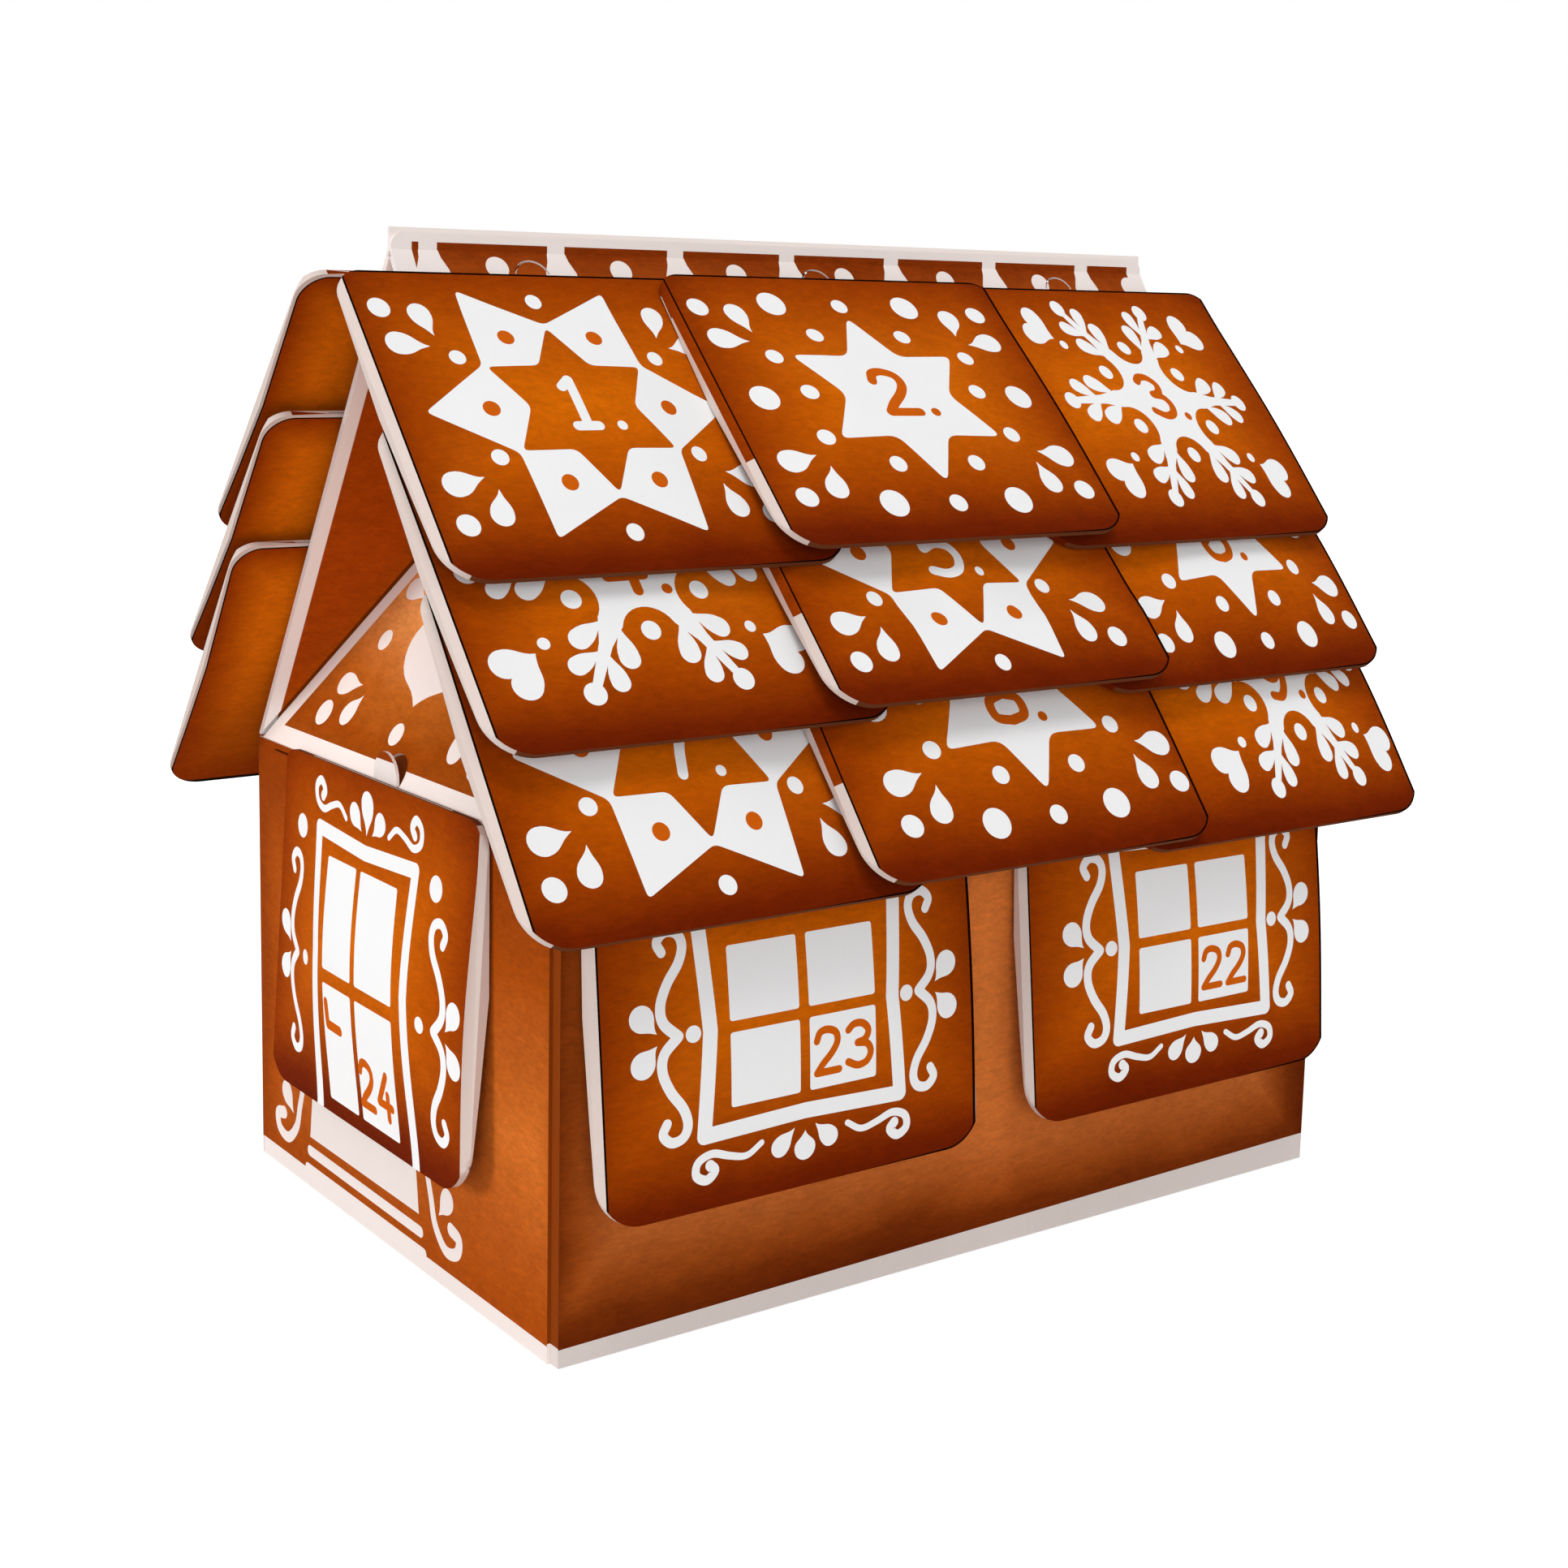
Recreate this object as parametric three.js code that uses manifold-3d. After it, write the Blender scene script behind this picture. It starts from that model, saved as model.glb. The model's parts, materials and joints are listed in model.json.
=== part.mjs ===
// Tea advent calendar: a folded gingerbread-house carton with 24 tea envelopes hooked onto it.
// Millimetres. X runs along the ridge, the front wall faces -Y, the door end faces -X, Z is up.
import * as THREE from 'three';
import { mergeVertices } from 'three/addons/utils/BufferGeometryUtils.js';
import Module from 'manifold-3d';

const wasm = await Module();
wasm.setup();

// Carton
const BOARD = 0.6;
const FOLD_GAP = 0.3;
const HOUSE_LENGTH = 180;
const HOUSE_DEPTH = 119;
const WALL_HEIGHT = 87;
const RIDGE_HEIGHT = 183;
const FRONT_FIN_HEIGHT = 3.0;
const BACK_FIN_HEIGHT = 3.8;
const FIN_CORNER = 2.5;
const GLUE_FLAP_WIDTH = 14;
const GLUE_FLAP_SETBACK = 3.5;
const SEAM_SETBACK = 2;
const TUCK_FLAP_HEIGHT = 16;
const DUST_FLAP_REACH = 52;
const DUST_FLAP_TAPER = 8;

// Cuts in the carton
const KERF = 0.4;
const HALF_MOON_RADIUS = 3.8;
const HALF_MOON_RISE = 4.3;
const HALF_MOON_SWEEP = 75;
const TONGUE_WIDTH = 9;
const TONGUE_HEIGHT = 6.4;
const SLIT_DROP = 1.2;
const SLIT_OVERRUN = 10;

// Tea envelope: the face is flat, the back swells from the rim to the belly and narrows again
const ENVELOPE_WIDTH = 78;
const ENVELOPE_HEIGHT = 65;
const SIDE_FLARE = 1.2;
const TOP_CORNER = 5;
const BOTTOM_CORNER = 8;
const PAPER = 0.35;
const RIM_THICKNESS = 1.1;
const RIM_WIDTH = 2.5;
const BELLY_THICKNESS = 2.9;
const SWELL = [[0, 0], [0.46, 1], [0.72, 0.6], [1, 0]];
const MOUTH_WIDTH = 56;
const MOUTH_DEPTH = 8;

// Tea bag
const BAG_WIDTH = 46;
const BAG_TOP = 18;
const BAG_BOTTOM = 54;
const BAG_CLEARANCE = 0.3;

// Hook punched out of the board behind each envelope: it enters a slot in the envelope's back and
// ends in a lip that points down, so that the envelope comes off when it is drawn down
const HOOK_WIDTH = 7;
const HOOK_DROP = 13;
const HOOK_ANGLE = 42;
const HOOK_LIP = 3.2;
const HOOK_CLEARANCE = 0.4;
const DRAW_TRAVEL = 8;

// Where the envelopes hang
const ROWS = 3;
const ROW_PITCH = 29.6;
const FIRST_ROW_TOP = 5.8;
const COLUMN_OVERLAP = 14.3;
const COLUMN_SHIFT = 0.6;
const SIDE_LIFT = 2.0;
const LAYER_GAP = 0.5;
const WALL_LIFT = 1.6;
const WINDOW_SPACING = 92.4;
const WINDOW_RISE = 3;
const WINDOW_TILT = 6;
const DOOR_OFFSET = -2.5;
const DOOR_RISE = 1;
const DOOR_TILT = 3.5;

// How far joined and cutting solids run past each other
const OVERLAP = 1;

const HALF_LENGTH = HOUSE_LENGTH / 2;
const HALF_DEPTH = HOUSE_DEPTH / 2;
const COLUMN_PITCH = ENVELOPE_WIDTH - COLUMN_OVERLAP;
const MIDDLE_LIFT = SIDE_LIFT + RIM_THICKNESS + LAYER_GAP;
const ROOF_RUN = HALF_DEPTH - BOARD;
const ROOF_RISE = RIDGE_HEIGHT - WALL_HEIGHT;
const ROOF_LENGTH = Math.hypot(ROOF_RUN, ROOF_RISE);
const ROOF_ANGLE = Math.atan2(ROOF_RISE, ROOF_RUN);
const HALF_TURN = new THREE.Matrix4().makeRotationZ(Math.PI);

const gingerbread = new THREE.MeshStandardMaterial({ color: 0x8f4310, roughness: 0.75 });
const envelopePaper = new THREE.MeshStandardMaterial({ color: 0xa85410, roughness: 0.6 });
const teaPaper = new THREE.MeshStandardMaterial({ color: 0xe6dcc4, roughness: 0.95 });

function radians(degrees) {
  return degrees * Math.PI / 180;
}

function point(x, y) {
  return new THREE.Vector2(x, y);
}

// Solids

function toSolid(geometry) {
  const plain = geometry.index ? geometry.toNonIndexed() : geometry.clone();
  plain.deleteAttribute('normal');
  plain.deleteAttribute('uv');
  const welded = mergeVertices(plain, 1e-5);
  return new wasm.Manifold(new wasm.Mesh({
    numProp: 3,
    vertProperties: new Float32Array(welded.attributes.position.array),
    triVerts: new Uint32Array(welded.index.array),
  }));
}

function toGeometry(solid) {
  const mesh = solid.getMesh();
  const geometry = new THREE.BufferGeometry();
  geometry.setAttribute('position', new THREE.BufferAttribute(new Float32Array(mesh.vertProperties), 3));
  geometry.setIndex(new THREE.BufferAttribute(new Uint32Array(mesh.triVerts), 1));
  geometry.computeVertexNormals();
  return geometry;
}

// A flat outline, its lower face at height `from` and its upper face at height `to`
function slab(outline, from, to) {
  const shape = outline instanceof THREE.Shape ? outline : new THREE.Shape(outline);
  const options = { depth: to - from, bevelEnabled: false, curveSegments: 6 };
  const geometry = new THREE.ExtrudeGeometry(shape, options);
  geometry.translate(0, 0, from);
  return geometry;
}

function block(low, high) {
  const geometry = new THREE.BoxGeometry(high[0] - low[0], high[1] - low[1], high[2] - low[2]);
  return geometry.translate((low[0] + high[0]) / 2, (low[1] + high[1]) / 2, (low[2] + high[2]) / 2);
}

// A section drawn as (depth, height), swept across the given width
function sweptSection(section, width) {
  const geometry = slab(section, -width / 2, width / 2);
  const axes = new THREE.Matrix4().makeBasis(
    new THREE.Vector3(0, 0, 1), new THREE.Vector3(0, 1, 0), new THREE.Vector3(-1, 0, 0));
  return geometry.applyMatrix4(axes);
}

function mesh(name, geometry, material) {
  const part = new THREE.Mesh(geometry, material);
  part.name = name;
  return part;
}

// Panel frames: `start` lies on the panel's outer face at its upper crease, `down` leads away from it

function panelFrame(start, right, down) {
  const up = down.clone().negate();
  const out = new THREE.Vector3().crossVectors(right, up);
  return { start, right, up, down, out };
}

const frontRoof = panelFrame(
  new THREE.Vector3(0, -BOARD, RIDGE_HEIGHT), new THREE.Vector3(1, 0, 0),
  new THREE.Vector3(0, -Math.cos(ROOF_ANGLE), -Math.sin(ROOF_ANGLE)));
const frontWall = panelFrame(
  new THREE.Vector3(0, -HALF_DEPTH, WALL_HEIGHT), new THREE.Vector3(1, 0, 0), new THREE.Vector3(0, 0, -1));
const doorWall = panelFrame(
  new THREE.Vector3(-HALF_LENGTH, 0, WALL_HEIGHT), new THREE.Vector3(0, -1, 0),
  new THREE.Vector3(0, 0, -1));
const doorGable = panelFrame(
  new THREE.Vector3(-HALF_LENGTH + HALF_DEPTH, 0, RIDGE_HEIGHT), new THREE.Vector3(0, -1, 0),
  new THREE.Vector3(-HALF_DEPTH, 0, -ROOF_RISE).normalize());
const GABLE_LENGTH = Math.hypot(HALF_DEPTH, ROOF_RISE);

// Local x across, local y up the panel from its upper crease, local z outwards
function panelMatrix(frame) {
  return new THREE.Matrix4().makeBasis(frame.right, frame.up, frame.out).setPosition(frame.start);
}

// How far down the panel a point lies, and how far in front of its face
function onPanel(frame, position) {
  const offset = position.clone().sub(frame.start);
  return { along: offset.dot(frame.down), height: offset.dot(frame.out) };
}

// Thickness of an envelope at a distance `drop` below its top edge
function thickness(drop) {
  const share = Math.min(Math.max(drop / ENVELOPE_HEIGHT, 0), 1);
  const next = Math.max(SWELL.findIndex(([end]) => share <= end), 1);
  const [from, low] = SWELL[next - 1];
  const [to, high] = SWELL[next];
  const swell = low + (high - low) * (share - from) / (to - from);
  return RIM_THICKNESS + (BELLY_THICKNESS - RIM_THICKNESS) * swell;
}

// Resting: an envelope leans on what lies under it with FOLD_GAP between them, hung or drawn down

function faceOf(pose) {
  return {
    from: pose.top,
    to: pose.top + ENVELOPE_HEIGHT * Math.cos(pose.tilt),
    height: (along) => pose.lift + (along - pose.top) * Math.tan(pose.tilt),
  };
}

function clears(top, lift, tilt, supports) {
  for (const drawn of [0, DRAW_TRAVEL]) {
    for (let drop = 0; drop <= ENVELOPE_HEIGHT; drop += 0.5) {
      const depth = thickness(drop);
      const along = top + (drop + drawn) * Math.cos(tilt) + depth * Math.sin(tilt);
      const height = lift + (drop + drawn) * Math.sin(tilt) - depth * Math.cos(tilt);
      const under = supports.filter((support) => along >= support.from && along <= support.to);
      if (under.some((support) => height < support.height(along) + FOLD_GAP)) {
        return false;
      }
    }
  }
  return true;
}

function restingPose(frame, across, top, lift, leastTilt, supports) {
  let low = radians(leastTilt);
  let high = Math.PI / 6;
  while (high - low > 1e-5) {
    const tilt = (low + high) / 2;
    if (clears(top, lift, tilt, supports)) {
      high = tilt;
    } else {
      low = tilt;
    }
  }
  return { frame, across, top, lift, tilt: high };
}

function panelFace(length) {
  return { from: -Infinity, to: length, height: () => 0 };
}

function wallPose(frame, across, rise, leastTilt) {
  return restingPose(frame, across, -rise, WALL_LIFT, leastTilt, [panelFace(WALL_HEIGHT)]);
}

// The upper front edge of a window envelope, which the lowest roof row has to clear
function windowEdge() {
  const corner = new THREE.Vector3(0, -HALF_DEPTH - WALL_LIFT, WALL_HEIGHT + WINDOW_RISE);
  const place = onPanel(frontRoof, corner);
  return {
    from: place.along - OVERLAP,
    to: place.along + OVERLAP,
    height: () => place.height,
  };
}

// The roof rows shingle upwards, and the middle column lies over the edges of the outer two
function roofPoses() {
  const poses = [];
  let below = [windowEdge()];
  for (let row = ROWS - 1; row >= 0; row -= 1) {
    const top = FIRST_ROW_TOP + row * ROW_PITCH;
    const under = [panelFace(ROOF_LENGTH), ...below];
    const left = restingPose(frontRoof, COLUMN_SHIFT - COLUMN_PITCH, top, SIDE_LIFT, 0, under);
    const right = { ...left, across: COLUMN_SHIFT + COLUMN_PITCH };
    const middle = restingPose(frontRoof, COLUMN_SHIFT, top, MIDDLE_LIFT, 0, [...under, faceOf(left)]);
    poses.unshift(left, middle, right);
    below = [faceOf(left), faceOf(middle)];
  }
  return poses;
}

// Local x across, y up from the top edge, z out of the envelope's front face
function poseMatrix(pose) {
  const { frame, across, top, lift, tilt } = pose;
  const down = frame.down.clone().multiplyScalar(Math.cos(tilt)).addScaledVector(frame.out, Math.sin(tilt));
  const up = down.clone().negate();
  const out = new THREE.Vector3().crossVectors(frame.right, up);
  const origin = frame.start.clone()
    .addScaledVector(frame.right, across)
    .addScaledVector(frame.down, top)
    .addScaledVector(frame.out, lift);
  return new THREE.Matrix4().makeBasis(frame.right, up, out).setPosition(origin);
}

// Flat strip bent along the given centre line of (distance up, height) points
function bentStrip(line, material, width) {
  const left = [];
  const right = [];
  line.forEach((here, index) => {
    const before = line[Math.max(index - 1, 0)];
    const after = line[Math.min(index + 1, line.length - 1)];
    const arriving = (index > 0 ? here.clone().sub(before) : after.clone().sub(here)).normalize();
    const leaving = (after === here ? here.clone().sub(before) : after.clone().sub(here)).normalize();
    const middle = arriving.clone().add(leaving).normalize();
    const side = point(-middle.y, middle.x).multiplyScalar(material / 2 / middle.dot(arriving));
    left.push(here.clone().add(side));
    right.push(here.clone().sub(side));
  });
  const section = [...left, ...right.reverse()].map(({ x, y }) => point(y, x));
  return sweptSection(section, width);
}

// Centre line of a hook, on its panel: from the board, through the envelope's back, along its inside
function hookLine(pose) {
  const { top, lift, tilt } = pose;
  const inEnvelope = (drop, depth) => point(
    -top - drop * Math.cos(tilt) - depth * Math.sin(tilt),
    lift + drop * Math.sin(tilt) - depth * Math.cos(tilt));
  const depth = thickness(HOOK_DROP) - PAPER - HOOK_CLEARANCE / 2 - BOARD / 2;
  const bend = inEnvelope(HOOK_DROP, depth);
  const tip = inEnvelope(HOOK_DROP + HOOK_LIP, depth);
  const rise = bend.y + BOARD / 2;
  const root = point(bend.x + rise / Math.tan(radians(HOOK_ANGLE)), -BOARD / 2);
  return [point(root.x + BOARD, -BOARD / 2), root, bend, tip];
}

function hookSolid(pose) {
  const strip = bentStrip(hookLine(pose), BOARD, HOOK_WIDTH);
  return toSolid(strip.translate(pose.across, 0, 0).applyMatrix4(panelMatrix(pose.frame)));
}

// Window that the hook leaves in its panel, as long as the hook
function windowShape(pose) {
  const [, root, bend, tip] = hookLine(pose);
  const length = root.distanceTo(bend) + bend.distanceTo(tip) + HOOK_CLEARANCE;
  const half = HOOK_WIDTH / 2 + HOOK_CLEARANCE;
  return [
    point(pose.across - half, root.x - length), point(pose.across + half, root.x - length),
    point(pose.across + half, root.x), point(pose.across - half, root.x),
  ];
}

// Slot in the envelope's back, long enough for the hook to ride up it as the envelope is drawn down
function backSlotSolid() {
  const half = HOOK_WIDTH / 2 + HOOK_CLEARANCE;
  const crossing = (BOARD + PAPER) / Math.sin(radians(HOOK_ANGLE) / 2);
  const upper = HOOK_DROP - crossing - HOOK_CLEARANCE - DRAW_TRAVEL;
  const lower = HOOK_DROP + HOOK_CLEARANCE;
  const behind = -BELLY_THICKNESS - OVERLAP;
  return toSolid(block([-half, -lower, behind], [half, -upper, -PAPER - HOOK_CLEARANCE / 2]));
}

function halfMoonShape(pose) {
  const centreY = -pose.top + HALF_MOON_RISE - HALF_MOON_RADIUS;
  const start = radians(90 - HALF_MOON_SWEEP);
  const end = radians(90 + HALF_MOON_SWEEP);
  const shape = new THREE.Shape();
  shape.absarc(pose.across, centreY, HALF_MOON_RADIUS, start, end, false);
  shape.absarc(pose.across, centreY, HALF_MOON_RADIUS - KERF, end, start, true);
  return shape;
}

function cutThrough(solid, frame, shapes) {
  let result = solid;
  for (const shape of shapes) {
    const cutter = slab(shape, -3 * BOARD, BOARD);
    cutter.applyMatrix4(panelMatrix(frame));
    result = result.subtract(toSolid(cutter));
  }
  return result;
}

// Carton panels

// Cuts the window and the half-moon kerf of each envelope, and adds its hook
function hookedPanel(solid, poses) {
  let result = solid;
  for (const pose of poses) {
    result = cutThrough(result, pose.frame, [windowShape(pose), halfMoonShape(pose)]);
    result = result.add(hookSolid(pose));
  }
  return result;
}

// Roof slope with its ridge fin, and at each end the gusset folded flat against its inner face
function roofPanel(poses, finHeight, finCorner) {
  const inward = new THREE.Vector2(Math.sin(ROOF_ANGLE), -Math.cos(ROOF_ANGLE)).multiplyScalar(BOARD);
  const along = new THREE.Vector2(Math.cos(ROOF_ANGLE), Math.sin(ROOF_ANGLE));
  const lowerOuter = point(-HALF_DEPTH, WALL_HEIGHT).addScaledVector(along, BOARD + FOLD_GAP);
  const lowerInner = lowerOuter.clone().add(inward);
  const innerRise = -lowerInner.x * Math.tan(ROOF_ANGLE);
  const section = [
    lowerOuter, point(-BOARD, RIDGE_HEIGHT), point(-BOARD, RIDGE_HEIGHT + BOARD),
    point(0, RIDGE_HEIGHT + BOARD), point(0, lowerInner.y + innerRise), lowerInner,
  ];
  const plate = slab(section, -HALF_LENGTH, HALF_LENGTH);
  plate.applyMatrix4(new THREE.Matrix4().makeBasis(
    new THREE.Vector3(0, 1, 0), new THREE.Vector3(0, 0, 1), new THREE.Vector3(1, 0, 0)));
  let solid = toSolid(plate).add(finSolid(finHeight, finCorner));
  for (const end of [-1, 1]) {
    solid = solid.add(gussetSolid(end));
  }
  return hookedPanel(solid, poses);
}

function finSolid(height, corner) {
  const shape = new THREE.Shape();
  shape.moveTo(-HALF_LENGTH, 0);
  shape.lineTo(HALF_LENGTH, 0);
  shape.lineTo(HALF_LENGTH, height - corner);
  if (corner > 0) {
    shape.absarc(HALF_LENGTH - corner, height - corner, corner, 0, Math.PI / 2, false);
    shape.absarc(-HALF_LENGTH + corner, height - corner, corner, Math.PI / 2, Math.PI, false);
  } else {
    shape.lineTo(-HALF_LENGTH, height);
  }
  const fin = slab(shape, 0, BOARD);
  fin.rotateX(Math.PI / 2);
  fin.translate(0, 0, RIDGE_HEIGHT);
  return toSolid(fin);
}

// Triangle between the rake, the ridge and the crease of the gable, doubled under the roof slope
function gussetSolid(end) {
  const ridgeClear = 2 * BOARD * Math.tan(ROOF_ANGLE) + FOLD_GAP - BOARD / Math.cos(ROOF_ANGLE);
  const rake = end * HALF_LENGTH;
  const inner = end * (HALF_LENGTH - HALF_DEPTH);
  const foot = ROOF_LENGTH - 3 * BOARD - FOLD_GAP;
  const reach = (rake - inner) * (foot - ridgeClear) / ROOF_LENGTH;
  const outline = [point(rake, -foot), point(rake, -ridgeClear), point(rake - reach, -ridgeClear)];
  if (end > 0) {
    outline.reverse();
  }
  const leaf = slab(outline, -2 * BOARD, -BOARD / 2);
  leaf.applyMatrix4(panelMatrix(frontRoof));
  return toSolid(leaf);
}

// Front or back wall; the front one carries the glue flap of the side seam
function longWall(poses, withFlap) {
  const left = withFlap ? -HALF_LENGTH + BOARD : -HALF_LENGTH;
  const outer = -HALF_DEPTH;
  const inner = outer + BOARD;
  let solid = toSolid(block([left, outer, 0], [HALF_LENGTH, inner, WALL_HEIGHT]));
  if (withFlap) {
    const flapEnd = outer + GLUE_FLAP_WIDTH;
    const flap = block([left, outer, 0], [left + BOARD, flapEnd, WALL_HEIGHT - GLUE_FLAP_SETBACK]);
    solid = solid.add(toSolid(flap));
  }
  return hookedPanel(solid, poses);
}

function tongueShape(margin) {
  const half = TONGUE_WIDTH / 2 + margin;
  const height = TONGUE_HEIGHT + margin;
  const shape = new THREE.Shape();
  shape.moveTo(-half, -OVERLAP);
  shape.lineTo(half, -OVERLAP);
  shape.lineTo(half, height - half);
  shape.absarc(0, height - half, half, 0, Math.PI, false);
  shape.closePath();
  return shape;
}

// End wall with the half-moon tongue that stays upright above its eave
function endWall(pose, seamSetback) {
  const halfDepth = HALF_DEPTH - BOARD;
  const outline = [
    point(-halfDepth, -WALL_HEIGHT), point(halfDepth - seamSetback, -WALL_HEIGHT),
    point(halfDepth - seamSetback, 0), point(-halfDepth, 0),
  ];
  const wall = slab(outline, -BOARD, 0).applyMatrix4(panelMatrix(doorWall));
  const tongue = slab(tongueShape(0), -BOARD, 0);
  tongue.translate(pose.across, 0, 0).applyMatrix4(panelMatrix(doorWall));
  const solid = toSolid(wall).add(toSolid(tongue));
  return cutThrough(solid, doorWall, [windowShape(pose), slitShape(pose)]).add(hookSolid(pose));
}

// Straight slit just under the eave, a little longer than the envelope is wide
function slitShape(pose) {
  const half = ENVELOPE_WIDTH / 2 + SLIT_OVERRUN;
  return [
    point(pose.across - half, -SLIT_DROP - KERF), point(pose.across + half, -SLIT_DROP - KERF),
    point(pose.across + half, -SLIT_DROP), point(pose.across - half, -SLIT_DROP),
  ];
}

// Triangle that slopes in from the eave of an end wall to the ridge, clear of the folded gussets
function gableTriangle(pose) {
  const eave = -GABLE_LENGTH + BOARD + FOLD_GAP;
  const cosine = Math.cos(ROOF_ANGLE) * HALF_DEPTH / GABLE_LENGTH;
  const inset = (2 * BOARD + FOLD_GAP) / Math.sqrt(1 - cosine ** 2);
  const slant = Math.hypot(HALF_DEPTH, GABLE_LENGTH);
  const halfBase = (-eave * HALF_DEPTH - inset * slant) / GABLE_LENGTH;
  const apex = -inset * slant / HALF_DEPTH;
  const outline = new THREE.Shape([point(-halfBase, eave), point(halfBase, eave), point(0, apex)]);
  const plate = slab(outline, -BOARD, 0).applyMatrix4(panelMatrix(doorGable));
  const hole = slab(tongueShape(FOLD_GAP), -2 * BOARD, BOARD);
  hole.translate(pose.across, -GABLE_LENGTH, 0).applyMatrix4(panelMatrix(doorGable));
  return toSolid(plate).subtract(toSolid(hole));
}

// Base panel with the tuck flap that stands inside the back wall
function basePanel() {
  const x = HALF_LENGTH - 2 * BOARD - FOLD_GAP;
  const y = HALF_DEPTH - BOARD;
  const floor = block([-x, -y, 0], [x, y, BOARD]);
  const tuck = block([-x, y - BOARD, 0], [x, y, TUCK_FLAP_HEIGHT]);
  return toSolid(floor).add(toSolid(tuck));
}

function dustFlap() {
  const outer = -HALF_LENGTH + 2 * BOARD + FOLD_GAP;
  const half = HALF_DEPTH - 2 * BOARD - FOLD_GAP;
  const outline = [
    point(outer, -half), point(outer + DUST_FLAP_REACH, -half + DUST_FLAP_TAPER),
    point(outer + DUST_FLAP_REACH, half - DUST_FLAP_TAPER), point(outer, half),
  ];
  return toSolid(slab(outline, BOARD, 2 * BOARD));
}

// Envelope

function envelopeOutline() {
  const half = ENVELOPE_WIDTH / 2 + SIDE_FLARE;
  const shape = new THREE.Shape();
  shape.absarc(half - TOP_CORNER, -TOP_CORNER, TOP_CORNER, Math.PI / 2, 0, true);
  shape.absarc(half - BOTTOM_CORNER, BOTTOM_CORNER - ENVELOPE_HEIGHT, BOTTOM_CORNER, 0, -Math.PI / 2, true);
  shape.absarc(BOTTOM_CORNER - half, BOTTOM_CORNER - ENVELOPE_HEIGHT, BOTTOM_CORNER,
    -Math.PI / 2, -Math.PI, true);
  shape.absarc(TOP_CORNER - half, -TOP_CORNER, TOP_CORNER, Math.PI, Math.PI / 2, true);
  return shape;
}

// Section between the face and the back, drawn `inset` inside the paper, from `top` to `bottom`
function pouchSection(inset, top, bottom) {
  const turns = SWELL.map(([share]) => share * ENVELOPE_HEIGHT);
  const drops = [top, ...turns.filter((drop) => drop > top && drop < bottom), bottom];
  const back = drops.map((drop) => point(inset - thickness(drop), -drop));
  return [point(-inset, -top), point(-inset, -bottom), ...back.reverse()];
}

// Section across the envelope: the sides flare out from the face over the depth of the rim
function flaredSides() {
  const half = ENVELOPE_WIDTH / 2;
  const wide = half + SIDE_FLARE;
  const section = [
    point(-half, 0), point(-wide, -RIM_THICKNESS), point(-wide, -BELLY_THICKNESS - PAPER),
    point(wide, -BELLY_THICKNESS - PAPER), point(wide, -RIM_THICKNESS), point(half, 0),
  ];
  const geometry = slab(section, 0, ENVELOPE_HEIGHT);
  return geometry.rotateX(Math.PI / 2);
}

// Inside of the pouch, open at the top edge
function cavityOutline() {
  const half = ENVELOPE_WIDTH / 2 - RIM_WIDTH;
  const mouth = MOUTH_WIDTH / 2;
  const bottom = RIM_WIDTH - ENVELOPE_HEIGHT;
  const corner = BOTTOM_CORNER;
  return [
    point(-mouth, OVERLAP), point(-mouth, -OVERLAP), point(-half, -MOUTH_DEPTH),
    point(-half, bottom + corner), point(corner - half, bottom), point(half - corner, bottom),
    point(half, bottom + corner), point(half, -MOUTH_DEPTH), point(mouth, -OVERLAP),
    point(mouth, OVERLAP),
  ];
}

function pouchSolid() {
  const outline = toSolid(slab(envelopeOutline(), -BELLY_THICKNESS - PAPER, 0));
  const sheets = toSolid(sweptSection(pouchSection(0, 0, ENVELOPE_HEIGHT), 2 * ENVELOPE_WIDTH));
  return outline.intersect(sheets).intersect(toSolid(flaredSides()));
}

function cavitySolid() {
  const outline = toSolid(slab(cavityOutline(), -BELLY_THICKNESS, 0));
  const section = pouchSection(PAPER, -OVERLAP, ENVELOPE_HEIGHT - RIM_WIDTH);
  return outline.intersect(toSolid(sweptSection(section, 2 * ENVELOPE_WIDTH)));
}

function teaBagSolid() {
  return toSolid(sweptSection(pouchSection(PAPER + BAG_CLEARANCE, BAG_TOP, BAG_BOTTOM), BAG_WIDTH));
}

// Assembly

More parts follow.
